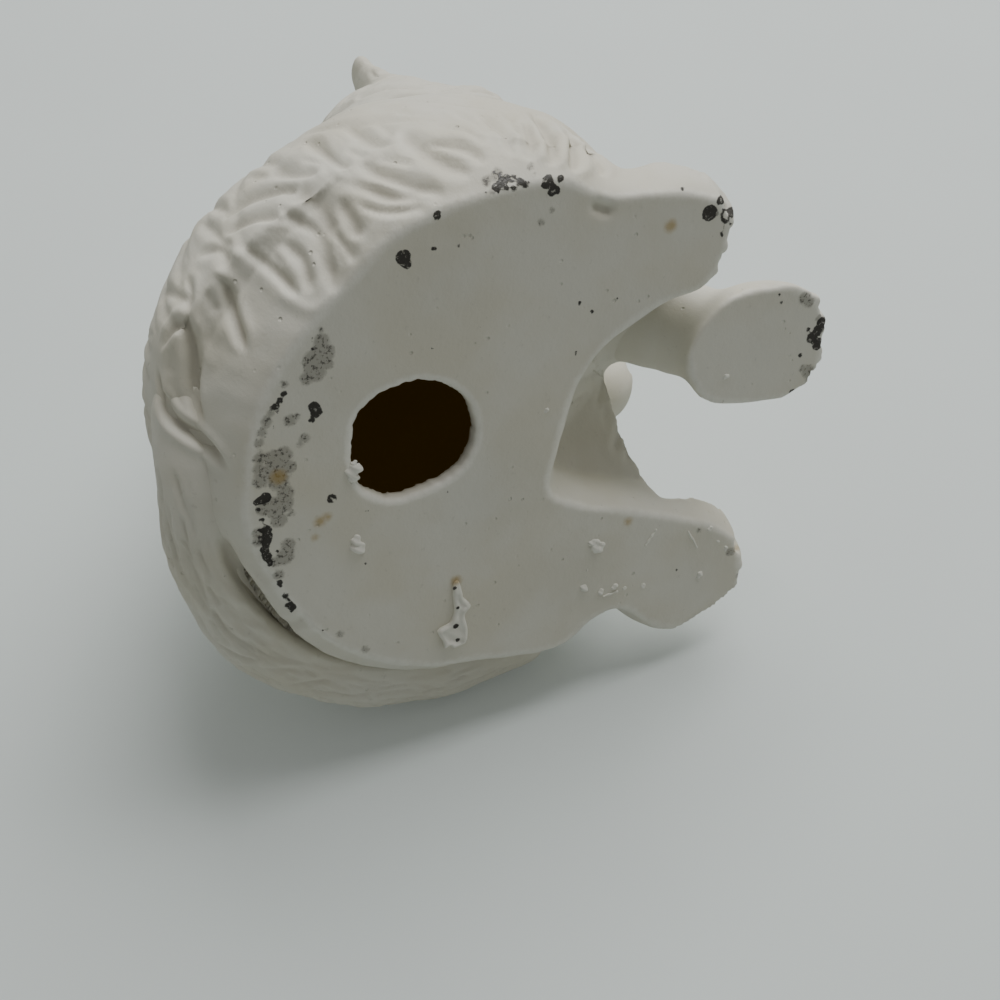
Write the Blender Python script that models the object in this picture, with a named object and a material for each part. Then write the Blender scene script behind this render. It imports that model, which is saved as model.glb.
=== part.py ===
"""Sitting kitten figurine, slip-cast in white bisque porcelain, as an assembly of its separate castings.

The kitten faces -Y, +X is its left side and +Z is up. The flat base and the sole of the right forepaw
lie in the plane z = 0. The origin is on the base, just in front of the vent hole.
All sizes are millimetres. The meshes are made in metres.
"""

import math

import bpy
import numpy as np

MM = 0.001
TINY = 1e-9

# Walls and seams
WALL = 3.0
HEAD_WALL = 4.0
FLOOR = 2.6
CLEARANCE = 0.35
SLIP_LAYER = 1.3
SEAT = SLIP_LAYER + 2 * CLEARANCE
# Rounding of the edges where a casting is trimmed to another
TRIM_ROUNDING = 1.6

# Vent hole in the base, and air passage from the body up into the head
VENT_RADIUS = 11.0
VENT_CENTRE = (-2.8, 13.7)
PASSAGE_RADIUS = 6.0
PASSAGE_CENTRE = (-5, -15)

# Base of the body with both hind feet, from the middle of the rump round the kitten's right side
BASE_OUTLINE = (
    (4, 42), (-12, 40), (-23, 34), (-32, 26), (-39, 19), (-44, 6), (-46, -7), (-43, -17), (-43, -26),
    (-42, -36), (-38, -41.5), (-30, -41), (-25.5, -38), (-23, -30), (-18, -22), (-10, -16), (0, -14),
    (10, -13), (14, -18), (17, -28), (21, -42), (26, -53.5), (33, -58), (41, -58.5), (47, -52), (46, -42),
    (40, -33), (41, -26), (46, -19), (45, -3), (44, 9), (37, 24), (24, 35), (12, 41),
)
# Sole of the right forepaw
PAW_OUTLINE = (
    (-12, -38), (-20, -38.5), (-23.5, -46), (-24, -58), (-19, -65), (-9, -67), (-3, -64.5), (-1.5, -55),
    (-4, -43),
)

# How far each form swells out over its sole, and the height in which it does
BODY_SWELL = 9.0
BODY_SWELL_HEIGHT = 9.0
FOOT_SWELL = 2.6
FOOT_SWELL_HEIGHT = 3.5
PAW_SWELL = 1.3
PAW_SWELL_HEIGHT = 3.0
# From these heights up the sole stops holding the form in, at this slope
BODY_FREE_HEIGHT = 12.0
BODY_FREE_SLOPE = 1.2
FOOT_FREE_HEIGHT = 9.0
FOOT_FREE_SLOPE = 1.6
PAW_FREE_HEIGHT = 5.0
PAW_FREE_SLOPE = 1.3
# The hind feet begin in front of this line across the base, and the change takes this length
FEET_LINE = -10.0
FEET_LINE_FADE = 14.0

# Body masses: centre, radii and turn about Z in degrees
RUMP = ((0, 9, 27), (46, 42, 33), 0)
RIGHT_HAUNCH = ((-27, -5.5, 27), (23.6, 32, 27), 6)
LEFT_HAUNCH = ((26, -8, 27), (24, 32, 27), -10)
BELLY = ((-1, 4, 46), (34, 29, 34), 0)
CHEST = ((-4, -8, 67), (30, 25, 27), 0)
NECK = ((-5, -14, 87), (24, 19, 16), 0)
TAIL_ROOT = ((-13, 38.7, 20), (10, 10, 10), 0)
RIGHT_FOOT = ((-34, -28, 0), (13.6, 20, 14.5), 0)
LEFT_FOOT = ((34, -41, 0), (14, 24, 11.0), -22)
LEFT_SHIN = ((23, -22, 20, 15.0), (28, -38, 5, 6.0))
BODY_BLEND = 9.0
FOOT_BLEND = 5.0

# Limbs and tail as centre line points, each with its radius
RIGHT_FORELEG = ((-17, -13, 56, 14.0), (-14.5, -27, 34, 12.0), (-12.5, -43, 13, 8.8))
LEFT_FORELEG = ((9, -12, 62, 13.0), (17, -20, 48, 10.0), (16, -38, 49, 7.6))
TAIL = (
    (-3, 44, 17, 8.6), (7, 44.5, 13.5, 8.4), (22, 43, 13, 8.2), (36.5, 36.5, 13, 8.1),
    (46.5, 25.5, 13, 8.0), (52, 11, 13, 7.8), (53, -4, 12.5, 7.0), (50, -17, 11, 5.4),
)
RIGHT_PAW = ((-12.5, -53, 0), (12.4, 15.2, 11.5), 0)
LEFT_PAW = ((14, -45, 43.5), (8.4, 8.6, 9.0), 0)
LIMB_BLEND = 5.0

# Where slip joins each casting to the body: middle and radius of the joint. The seat runs out over a short fade.
NECK_JOINT = (NECK[0], 46)
RIGHT_FORELEG_JOINT = ((-14.5, -26, 42), 15)
LEFT_FORELEG_JOINT = ((15, -24, 50), 20)
TAIL_JOINT = ((-7, 44, 17), 12)
JOINT_FADE = 2.0

# Head masses, measured from the middle of the skull. Paired ones are given for the left side.
HEAD_CENTRE = (-5, -27, 106)
SKULL = ((0, 0, 0), (27.5, 24.5, 22.5), 0)
CHEEK = ((14, -11, -8), (14, 12, 10.5), 0)
MUZZLE = ((5.0, -23, -9.5), (7.0, 7.2, 6.0), 0)
CHIN = ((0, -21, -15.5), (5.4, 5.5, 4.4), 0)
NOSE = ((0, -18, 4, 5.6), (0, -26.3, -4.5, 3.2))
EYE = ((10.4, -19.5, 1.5), (5.4, 5.4, 5.4), 0)
EAR = ((14.5, -1, 12, 13.0), (22.0, 2, 23.5, 4.8))
EAR_FLATTEN = 2.0
EAR_FACING = 12.0
EAR_SCOOP_SHARE = 0.72
EAR_SCOOP_FORWARD = 6.5
HEAD_BLEND = 5.5
FACE_BLEND = 2.0
EYE_BLEND = 0.8
EAR_BLEND = 3.0

# Meshing: the space searched for each casting, the step of that search and the cutters' reach past a face
SEARCH_LOW = (-90, -90, -6)
SEARCH_HIGH = (90, 90, 160)
SEARCH_STEP = 4.0
CUT_REACH = 5.0

BISQUE_COLOUR = (0.76, 0.74, 0.69, 1.0)
SLIP_COLOUR = (0.72, 0.70, 0.64, 1.0)


def clear_scene():
    for item in list(bpy.data.objects):
        bpy.data.objects.remove(item, do_unlink=True)


def porcelain(name, colour, roughness):
    material = bpy.data.materials.new(name)
    material.use_nodes = True
    shader = material.node_tree.nodes["Principled BSDF"]
    shader.inputs["Base Color"].default_value = colour
    shader.inputs["Roughness"].default_value = roughness
    shader.inputs["Metallic"].default_value = 0.0
    return material


# Masses as distance fields: each takes arrays of x, y and z and gives about the distance to its surface,
# negative inside.

def blend(a, b, width):
    """Two masses as one, with a soft crease of about this width."""
    share = np.clip(0.5 + 0.5 * (b - a) / width, 0, 1)
    return b * (1 - share) + a * share - width * share * (1 - share)


def trim(a, b, width=TRIM_ROUNDING):
    """What two masses share, with edges rounded by about this width."""
    return -blend(-a, -b, width)


def away_from(place, point):
    return [place[i] - point[i] for i in range(3)]


def ellipsoid(place, centre, radii, turn):
    x, y, z = away_from(place, centre)
    angle = math.radians(turn)
    across = x * math.cos(angle) + y * math.sin(angle)
    along = y * math.cos(angle) - x * math.sin(angle)
    near = TINY + (across / radii[0]) ** 2 + (along / radii[1]) ** 2 + (z / radii[2]) ** 2
    steep = (across / radii[0] ** 2) ** 2 + (along / radii[1] ** 2) ** 2 + (z / radii[2] ** 2) ** 2
    steep += TINY / min(radii) ** 2
    return np.sqrt(near) * (np.sqrt(near) - 1) / np.sqrt(steep)


def pillar(place, centre, radii, turn):
    """An ellipsoid whose lower half goes straight down."""
    x, y, z = place
    return ellipsoid((x, y, np.maximum(z, centre[2])), centre, radii, turn)


def bar(place, start, end):
    """Round bar between two stations, each x, y, z and radius."""
    axis = away_from(end, start)
    offset = away_from(place, start)
    share = sum(offset[i] * axis[i] for i in range(3)) / sum(c * c for c in axis)
    share = np.clip(share, 0, 1)
    gap = sum((offset[i] - axis[i] * share) ** 2 for i in range(3))
    return np.sqrt(gap) - start[3] - (end[3] - start[3]) * share


def limb(place, stations, width):
    mass = bar(place, stations[0], stations[1])
    for start, end in zip(stations[1:], stations[2:]):
        mass = blend(mass, bar(place, start, end), width)
    return mass


def smooth_loop(points, steps=4):
    """Closed curve through the points, with this many steps between neighbours."""
    points = np.array(points, float)
    before, after, beyond = (np.roll(points, k, axis=0) for k in (1, -1, -2))
    curve = []
    for step in range(steps):
        t = step / steps
        curve.append(0.5 * (
            2 * points + (after - before) * t
            + (2 * before - 5 * points + 4 * after - beyond) * t ** 2
            + (3 * points - before - 3 * after + beyond) * t ** 3
        ))
    return np.stack(curve, axis=1).reshape(-1, points.shape[1])


def smooth_line(points, steps=4):
    """Open curve through the points."""
    closed = smooth_loop((points[0], *points, points[-1]), steps)
    return closed[steps:-2 * steps + 1]


def outline_distance(x, y, points):
    """Distance in plan to a closed outline, negative inside it."""
    loop = smooth_loop(points)
    shape = np.broadcast(x, y).shape
    nearest = np.full(shape, 1e9)
    inside = np.zeros(shape, bool)
    for (ax, ay), (bx, by) in zip(loop, np.roll(loop, -1, axis=0)):
        share = ((x - ax) * (bx - ax) + (y - ay) * (by - ay)) / ((bx - ax) ** 2 + (by - ay) ** 2)
        share = np.clip(share, 0, 1)
        gap = (x - ax - (bx - ax) * share) ** 2 + (y - ay - (by - ay) * share) ** 2
        nearest = np.minimum(nearest, gap)
        if ay != by:
            inside ^= ((ay > y) != (by > y)) & (x < ax + (bx - ax) * (y - ay) / (by - ay))
    return np.sqrt(nearest) * np.where(inside, -1, 1)


def swell(z, most, height, free_height, free_slope):
    """How far a form may stand out over its sole at each height."""
    above = np.maximum(z, 0)
    return most * (1 - np.exp(-above / height)) + free_slope * np.maximum(z - free_height, 0)


def outside_joint(place, joint):
    """Distance from the round region in which slip joins two castings, negative inside it."""
    centre, radius = joint
    return np.sqrt(sum(c ** 2 for c in away_from(place, centre))) - radius


def seam_room(place, joint):
    """Room between two castings: the slip with its clearances at the joint, and only a clearance elsewhere."""
    share = np.clip(0.5 - 0.5 * outside_joint(place, joint) / JOINT_FADE, 0, 1)
    return CLEARANCE + (SEAT - CLEARANCE) * share


# The kitten's forms

def tail_form(place):
    stations = smooth_line(TAIL)
    mass = bar(place, stations[0], stations[1])
    for start, end in zip(stations[1:], stations[2:]):
        mass = np.minimum(mass, bar(place, start, end))
    return mass


def body_form(place):
    x, y, z = place
    standing = (x, y, np.maximum(z, 0))
    mass = pillar(place, *RUMP)
    for part in (RIGHT_HAUNCH, LEFT_HAUNCH):
        mass = blend(mass, pillar(place, *part), BODY_BLEND)
    for part in (BELLY, CHEST, NECK, TAIL_ROOT):
        mass = blend(mass, ellipsoid(place, *part), BODY_BLEND)
    mass = blend(mass, limb(standing, LEFT_SHIN, FOOT_BLEND), FOOT_BLEND)
    for foot in (RIGHT_FOOT, LEFT_FOOT):
        mass = blend(mass, ellipsoid(standing, *foot), FOOT_BLEND)
    body_swell = swell(z, BODY_SWELL, BODY_SWELL_HEIGHT, BODY_FREE_HEIGHT, BODY_FREE_SLOPE)
    foot_swell = swell(z, FOOT_SWELL, FOOT_SWELL_HEIGHT, FOOT_FREE_HEIGHT, FOOT_FREE_SLOPE)
    feet = np.clip((FEET_LINE - y) / FEET_LINE_FADE, 0, 1)
    limit = body_swell * (1 - feet) + foot_swell * feet
    return np.maximum(mass, outline_distance(x, y, BASE_OUTLINE) - limit)


def body_skin(place):
    """The body with the groove that the tail lies in."""
    return trim(body_form(place), seam_room(place, TAIL_JOINT) - tail_form(place))


def body_hollow(place):
    """The space inside the shell, a wall's thickness in from the skin."""
    return np.maximum(body_skin(place) + WALL, FLOOR - place[2])


def ear_form(both):
    """One ear: a flattened cone with its front scooped out."""
    root, tip = EAR
    facing = math.radians(EAR_FACING)
    forward = (math.sin(facing), -math.cos(facing))
    depth = (both[0] - root[0]) * forward[0] + (both[1] - root[1]) * forward[1]
    slant = (tip[0] - root[0]) * forward[0] + (tip[1] - root[1]) * forward[1]
    rise = np.clip((both[2] - root[2]) / (tip[2] - root[2]), -1, 1)
    spread = (EAR_FLATTEN - 1) * (depth - slant * rise)
    wide = (both[0] + spread * forward[0], both[1] + spread * forward[1], both[2])
    ahead = (wide[0] - EAR_SCOOP_FORWARD * forward[0], wide[1] - EAR_SCOOP_FORWARD * forward[1], wide[2])
    scoop = [(*station[:3], EAR_SCOOP_SHARE * station[3]) for station in EAR]
    return np.maximum(bar(wide, root, tip), -bar(ahead, *scoop)) / EAR_FLATTEN


def head_form(place):
    local = away_from(place, HEAD_CENTRE)
    both = (np.abs(local[0]), local[1], local[2])
    mass = blend(ellipsoid(local, *SKULL), ellipsoid(both, *CHEEK), HEAD_BLEND)
    mass = blend(mass, bar(local, *NOSE), HEAD_BLEND)
    mass = blend(mass, ellipsoid(both, *MUZZLE), FACE_BLEND)
    mass = blend(mass, ellipsoid(local, *CHIN), FACE_BLEND)
    mass = blend(mass, ear_form(both), EAR_BLEND)
    return blend(mass, ellipsoid(both, *EYE), EYE_BLEND)


def head_hollow(place):
    local = away_from(place, HEAD_CENTRE)
    return np.maximum(ellipsoid(local, *SKULL) + HEAD_WALL, SEAT + WALL - body_form(place))


def right_foreleg_form(place):
    x, y, z = place
    standing = (x, y, np.maximum(z, 0))
    sole = outline_distance(x, y, PAW_OUTLINE)
    paw = np.maximum(ellipsoid(standing, *RIGHT_PAW), sole - swell(z, PAW_SWELL, PAW_SWELL_HEIGHT, 0, 0))
    limit = swell(z, PAW_SWELL, PAW_SWELL_HEIGHT, PAW_FREE_HEIGHT, PAW_FREE_SLOPE)
    leg = np.maximum(limb(standing, RIGHT_FORELEG, LIMB_BLEND), sole - limit)
    return blend(paw, leg, LIMB_BLEND)


def left_foreleg_form(place):
    return blend(limb(place, LEFT_FORELEG, LIMB_BLEND), ellipsoid(place, *LEFT_PAW), LIMB_BLEND)


def seated(form, joint):
    """A casting outside the body, with room for its slip joint."""
    return lambda place: trim(form(place), seam_room(place, joint) - body_form(place))


def slip_layer(seat, other, joint):
    """The layer of slip on one casting's surface where another casting meets it."""
    def layer(place):
        height = seat(place)
        sheet = np.maximum(CLEARANCE - height, height - CLEARANCE - SLIP_LAYER)
        sheet = trim(sheet, other(place), SLIP_LAYER)
        return trim(sheet, outside_joint(place, joint) + JOINT_FADE, SLIP_LAYER)
    return layer


def inside_body(place):
    return body_form(place) + CLEARANCE


# Meshes

def sampled(field, low, high, step):
    axes = [np.arange(low[i], high[i] + step, step) for i in range(3)]
    values = field((axes[0][:, None, None], axes[1][None, :, None], axes[2][None, None, :]))
    return np.array(np.broadcast_to(values, [len(a) for a in axes]))


def space_of(field):
    """Lowest and highest corners of the space that a form takes, with a margin."""
    rough = sampled(field, SEARCH_LOW, SEARCH_HIGH, SEARCH_STEP)
    found = np.argwhere(rough < SEARCH_STEP)
    low = np.array(SEARCH_LOW) + found.min(axis=0) * SEARCH_STEP
    high = np.array(SEARCH_LOW) + found.max(axis=0) * SEARCH_STEP
    return low, high


def closed_at_box(values, step):
    for axis in range(3):
        for side in (0, -1):
            face = np.moveaxis(values, axis, 0)[side]
            np.maximum(face, 0.5 * step, out=face)
    return values


def parted(values, step):
    """Samples with inside corners that touch only across a diagonal pulled apart, so that the skin closes."""
    barely_outside = 0.05 * step
    changed = True
    while changed:
        changed = False
        for first, second in ((0, 1), (0, 2), (1, 2)):
            corners = []
            for i, j in ((0, 0), (1, 0), (1, 1), (0, 1)):
                part = [slice(None)] * 3
                part[first] = slice(i, values.shape[first] - 1 + i)
                part[second] = slice(j, values.shape[second] - 1 + j)
                corners.append(values[tuple(part)])
            a, b, c, d = corners
            for one, other, left, right in ((a, c, b, d), (b, d, a, c)):
                touching = (one < 0) & (other < 0) & (left >= 0) & (right >= 0)
                if touching.any():
                    changed = True
                    one[touching & (one >= other)] = barely_outside
                    other[touching & (one < 0)] = barely_outside
    return values


def skin_mesh(name, field, step):
    """Closed mesh of quads on the surface of a form, one vertex for each cell that the surface crosses."""
    low, high = space_of(field)
    values = parted(closed_at_box(sampled(field, low, high, step), step), step)
    cells = tuple(n - 1 for n in values.shape)
    total = np.zeros(cells + (3,))
    count = np.zeros(cells)
    crossings = []
    for axis in range(3):
        first = np.moveaxis(values, axis, 0)[:-1]
        second = np.moveaxis(values, axis, 0)[1:]
        found = np.argwhere((first < 0) != (second < 0))
        a = first[tuple(found.T)]
        b = second[tuple(found.T)]
        corner = np.insert(found[:, 1:], axis, found[:, 0], axis=1)
        point = corner.astype(float)
        point[:, axis] += a / (a - b)
        side, up = (i for i in range(3) if i != axis)
        ring = []
        for back in ((0, 0), (1, 0), (1, 1), (0, 1)):
            cell = corner.copy()
            cell[:, side] -= back[0]
            cell[:, up] -= back[1]
            ring.append(cell)
            np.add.at(total, tuple(cell.T), point)
            np.add.at(count, tuple(cell.T), 1)
        crossings.append((axis, a < 0, ring))
    used = count > 0
    index = np.full(cells, -1)
    index[used] = np.arange(used.sum())
    points = total[used] / count[used][:, None] * step + low
    faces = []
    for axis, starts_inside, ring in crossings:
        quads = np.stack([index[tuple(cell.T)] for cell in ring], axis=1)
        flip = starts_inside if axis == 1 else ~starts_inside
        quads[flip] = quads[flip][:, ::-1]
        faces.append(quads)
    mesh = bpy.data.meshes.new(name)
    mesh.from_pydata((points * MM).tolist(), [], np.concatenate(faces).tolist())
    mesh.update()
    return mesh


def casting(name, material, field, step, faces):
    """One piece as its own object, sampled at a step and thinned to about this many triangles."""
    mesh = skin_mesh(name, field, step)
    mesh.materials.append(material)
    mesh.shade_smooth()
    piece = bpy.data.objects.new(name, mesh)
    bpy.context.scene.collection.objects.link(piece)
    thin = piece.modifiers.new("thin", "DECIMATE")
    thin.ratio = min(1.0, faces / (2 * len(mesh.polygons)))
    return piece


def as_cutter(piece):
    piece.hide_render = True
    piece.display_type = "WIRE"
    return piece


def cut(piece, *cutters):
    for cutter in cutters:
        modifier = piece.modifiers.new("cut_by_" + cutter.name, "BOOLEAN")
        modifier.operation = "DIFFERENCE"
        modifier.solver = "EXACT"
        modifier.object = cutter


def upright_cutter(name, centre, low, high, radius):
    """Plain upright cylinder between two heights."""
    bpy.ops.mesh.primitive_cylinder_add(vertices=48, radius=radius * MM, depth=(high - low) * MM)
    piece = bpy.context.object
    piece.name = name
    piece.location = (centre[0] * MM, centre[1] * MM, (low + high) / 2 * MM)
    return as_cutter(piece)


def ground_cutter():
    """Everything below the base."""
    width = SEARCH_HIGH[0] - SEARCH_LOW[0]
    depth = 4 * CUT_REACH
    bpy.ops.mesh.primitive_cube_add(size=MM)
    piece = bpy.context.object
    piece.name = "ground_cutter"
    piece.scale = (width, width, depth)
    piece.location = (0, 0, -depth / 2 * MM)
    return as_cutter(piece)


def make_body(bisque, ground, passage):
    body = casting("body_shell", bisque, body_skin, 1.6, 2800)
    hollow = as_cutter(casting("body_hollow", bisque, body_hollow, 2.0, 800))
    vent = upright_cutter("vent_cutter", VENT_CENTRE, -CUT_REACH, FLOOR + CUT_REACH, VENT_RADIUS)
    cut(body, ground, hollow, vent, passage)
    return [body]


def make_head(bisque, slip, passage):
    head = casting("head_shell", bisque, seated(head_form, NECK_JOINT), 1.0, 1800)
    hollow = as_cutter(casting("head_hollow", bisque, head_hollow, 2.4, 300))
    cut(head, hollow, passage)
    joint = casting("neck_slip_joint", slip, slip_layer(body_form, head_form, NECK_JOINT), 0.5, 500)
    cut(joint, passage)
    return [head, joint]


def make_forelegs(bisque, slip, ground):
    right = casting("right_foreleg", bisque, seated(right_foreleg_form, RIGHT_FORELEG_JOINT), 1.0, 800)
    cut(right, ground)
    left = casting("left_foreleg", bisque, seated(left_foreleg_form, LEFT_FORELEG_JOINT), 1.0, 700)
    right_layer = slip_layer(body_form, right_foreleg_form, RIGHT_FORELEG_JOINT)
    left_layer = slip_layer(body_form, left_foreleg_form, LEFT_FORELEG_JOINT)
    right_joint = casting("right_foreleg_slip_joint", slip, right_layer, 0.45, 300)
    left_joint = casting("left_foreleg_slip_joint", slip, left_layer, 0.45, 300)
    return [right, left, right_joint, left_joint]


def make_tail(bisque, slip):
    tail = casting("tail", bisque, tail_form, 1.2, 1200)
    joint = casting("tail_slip_joint", slip, slip_layer(tail_form, inside_body, TAIL_JOINT), 0.45, 400)
    return [tail, joint]


def build():
    clear_scene()
    bisque = porcelain("bisque", BISQUE_COLOUR, 0.75)
    slip = porcelain("slip", SLIP_COLOUR, 0.85)
    ground = ground_cutter()
    neck_top = NECK[0][2] + NECK[1][2]
    passage_top = neck_top + 2 * (SEAT + WALL)
    passage = upright_cutter("passage_cutter", PASSAGE_CENTRE, NECK[0][2], passage_top, PASSAGE_RADIUS)
    kitten = bpy.data.objects.new("kitten", None)
    bpy.context.scene.collection.objects.link(kitten)
    pieces = make_body(bisque, ground, passage)
    pieces += make_head(bisque, slip, passage)
    pieces += make_forelegs(bisque, slip, ground)
    pieces += make_tail(bisque, slip)
    for piece in pieces:
        piece.parent = kitten


build()
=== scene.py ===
import math

import bpy
import numpy as np
from mathutils import Matrix, Vector


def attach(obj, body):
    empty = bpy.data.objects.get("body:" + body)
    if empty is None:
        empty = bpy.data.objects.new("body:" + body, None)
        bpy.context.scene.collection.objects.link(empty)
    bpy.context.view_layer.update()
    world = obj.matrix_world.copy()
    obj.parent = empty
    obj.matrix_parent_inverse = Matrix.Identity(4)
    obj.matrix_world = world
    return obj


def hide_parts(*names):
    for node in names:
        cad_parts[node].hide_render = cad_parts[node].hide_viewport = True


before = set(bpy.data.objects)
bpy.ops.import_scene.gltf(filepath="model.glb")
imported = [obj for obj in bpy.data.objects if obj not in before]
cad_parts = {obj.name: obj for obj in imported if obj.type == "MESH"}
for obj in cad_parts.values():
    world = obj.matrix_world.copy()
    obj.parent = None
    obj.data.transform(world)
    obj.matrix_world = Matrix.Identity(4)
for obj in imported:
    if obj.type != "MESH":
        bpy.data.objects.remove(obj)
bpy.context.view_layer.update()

tiny = 1e-9

# What holds for the whole kitten. All sizes here and below are millimetres unless a note says otherwise.
kitten = {
    "grain": 0.65,      # step of the meshes; smaller shows finer tooling
    "wall": 4.6,                               # left thick behind the deepest strokes
    "headWall": 4.0,
    "floor": 2.6,
    "groundRounding": 0.65,                    # worn edge round the soles
    "strokeDepth": 1.05,                       # depth of a modelling stroke of share 1
    "waviness": 0.22,                          # unevenness left by the modeller's fingers
}


# Clay forms: about the distance to a surface, negative in the clay

def blend(a, b, width):
    share = np.clip(0.5 + 0.5 * (b - a) / width, 0, 1)
    return b * (1 - share) + a * share - width * share * (1 - share)


def trim(a, b, width):
    return -blend(-a, -b, width)


def awayFrom(place, point):
    return [place[i] - point[i] for i in range(3)]


def lump(place, centre, radii, turn):
    x, y, z = awayFrom(place, centre)
    angle = math.radians(turn)
    across = x * math.cos(angle) + y * math.sin(angle)
    along = y * math.cos(angle) - x * math.sin(angle)
    near = tiny + (across / radii[0]) ** 2 + (along / radii[1]) ** 2 + (z / radii[2]) ** 2
    steep = (across / radii[0] ** 2) ** 2 + (along / radii[1] ** 2) ** 2 + (z / radii[2] ** 2) ** 2
    steep = steep + tiny / min(radii) ** 2
    return np.sqrt(near) * (np.sqrt(near) - 1) / np.sqrt(steep)


def standingLump(place, centre, radii, turn):
    x, y, z = place
    return lump((x, y, np.maximum(z, centre[2])), centre, radii, turn)


def roll(place, start, end):
    axis = awayFrom(end, start)
    offset = awayFrom(place, start)
    share = sum(offset[i] * axis[i] for i in range(3)) / sum(c * c for c in axis)
    share = np.clip(share, 0, 1)
    gap = sum((offset[i] - axis[i] * share) ** 2 for i in range(3))
    return np.sqrt(gap) - start[3] - (end[3] - start[3]) * share


def limb(place, stations, width):
    mass = roll(place, stations[0], stations[1])
    for start, end in zip(stations[1:], stations[2:]):
        mass = blend(mass, roll(place, start, end), width)
    return mass


def smoothLoop(points, steps=4):
    points = np.array(points, float)
    before, after, beyond = (np.roll(points, k, axis=0) for k in (1, -1, -2))
    curve = []
    for step in range(steps):
        t = step / steps
        curve.append(0.5 * (
            2 * points + (after - before) * t
            + (2 * before - 5 * points + 4 * after - beyond) * t ** 2
            + (3 * points - before - 3 * after + beyond) * t ** 3
        ))
    return np.stack(curve, axis=1).reshape(-1, points.shape[1])


def smoothLine(points, steps=4):
    return smoothLoop((points[0], *points, points[-1]), steps)[steps:-2 * steps + 1]


def solePlan(points, reach=95.0, step=0.4):
    # distance to a closed outline, worked out once on a fine table and read off between its points
    loop = smoothLoop(points)
    ticks = np.arange(-reach, reach + step, step)
    x, y = ticks[:, None], ticks[None, :]
    nearest = np.full((len(ticks), len(ticks)), 1e9)
    inside = np.zeros(nearest.shape, bool)
    for (ax, ay), (bx, by) in zip(loop, np.roll(loop, -1, axis=0)):
        share = ((x - ax) * (bx - ax) + (y - ay) * (by - ay)) / ((bx - ax) ** 2 + (by - ay) ** 2)
        share = np.clip(share, 0, 1)
        nearest = np.minimum(nearest, (x - ax - (bx - ax) * share) ** 2 + (y - ay - (by - ay) * share) ** 2)
        if ay != by:
            inside ^= ((ay > y) != (by > y)) & (x < ax + (bx - ax) * (y - ay) / (by - ay))
    table = np.sqrt(nearest) * np.where(inside, -1, 1)

    def distance(x, y):
        across = np.clip((x + reach) / step, 0, len(ticks) - 1.01)
        along = np.clip((y + reach) / step, 0, len(ticks) - 1.01)
        i, j = across.astype(int), along.astype(int)
        u, v = across - i, along - j
        near = table[i, j] * (1 - u) + table[i + 1, j] * u
        far = table[i, j + 1] * (1 - u) + table[i + 1, j + 1] * u
        return near * (1 - v) + far * v
    return distance


def swell(z, most, height, freeHeight, freeSlope):
    return most * (1 - np.exp(-np.maximum(z, 0) / height)) + freeSlope * np.maximum(z - freeHeight, 0)


# Meshes from forms

def sampled(form, low, high, step):
    axes = [np.arange(low[i], high[i] + step, step) for i in range(3)]
    values = form((axes[0][:, None, None], axes[1][None, :, None], axes[2][None, None, :]))
    return np.array(np.broadcast_to(values, [len(a) for a in axes]))


def spaceOf(form, low, high):
    rough = sampled(form, low, high, 4.0)
    found = np.argwhere(rough < 4.0)
    return np.array(low) + found.min(axis=0) * 4.0, np.array(low) + found.max(axis=0) * 4.0


def skinOf(form, step, box=None):
    low, high = box or spaceOf(form, (-90, -90, -6), (90, 90, 160))
    values = sampled(form, low, high, step)
    for axis in range(3):
        for side in (0, -1):
            face = np.moveaxis(values, axis, 0)[side]
            np.maximum(face, 0.5 * step, out=face)
    cells = tuple(n - 1 for n in values.shape)
    count = np.zeros(cells, np.uint8)
    crossings = []
    for axis in range(3):
        first = np.moveaxis(values, axis, 0)[:-1]
        second = np.moveaxis(values, axis, 0)[1:]
        found = np.argwhere((first < 0) != (second < 0))
        a = first[tuple(found.T)]
        b = second[tuple(found.T)]
        corner = np.insert(found[:, 1:], axis, found[:, 0], axis=1)
        point = corner.astype(float)
        point[:, axis] += a / (a - b)
        side, up = (i for i in range(3) if i != axis)
        ring = []
        for back in ((0, 0), (1, 0), (1, 1), (0, 1)):
            cell = corner.copy()
            cell[:, side] -= back[0]
            cell[:, up] -= back[1]
            ring.append(np.ravel_multi_index(tuple(cell.T), cells))
        crossings.append((axis, a < 0, ring, point))
    everyCell = np.concatenate([cell for _, _, ring, _ in crossings for cell in ring])
    everyPoint = np.concatenate([point for _, _, ring, point in crossings for _ in ring])
    used, place = np.unique(everyCell, return_inverse=True)
    total = np.stack([np.bincount(place, everyPoint[:, i]) for i in range(3)], axis=1)
    points = total / np.bincount(place)[:, None] * step + low
    faces = []
    for axis, startsInside, ring, _ in crossings:
        quads = np.stack([np.searchsorted(used, cell) for cell in ring], axis=1)
        flip = startsInside if axis == 1 else ~startsInside
        quads[flip] = quads[flip][:, ::-1]
        faces.append(quads)
    return points, np.concatenate(faces)


def slopeOf(form, points, reach=0.15):
    slope = np.zeros_like(points)
    for axis in range(3):
        step = np.zeros(3)
        step[axis] = reach
        slope[:, axis] = (form((points + step).T) - form((points - step).T)) / (2 * reach)
    return slope


def outwardOf(form, points):
    slope = slopeOf(form, points)
    return slope / (np.linalg.norm(slope, axis=1, keepdims=True) + tiny)


def drawnOnto(form, points, passes=2, most=1.0):
    for _ in range(passes):
        slope = slopeOf(form, points)
        size = (slope ** 2).sum(axis=1) + 0.05
        move = form(points.T) / size
        move = np.clip(move, -most, most)
        points = points - slope * move[:, None]
    return points


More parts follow.
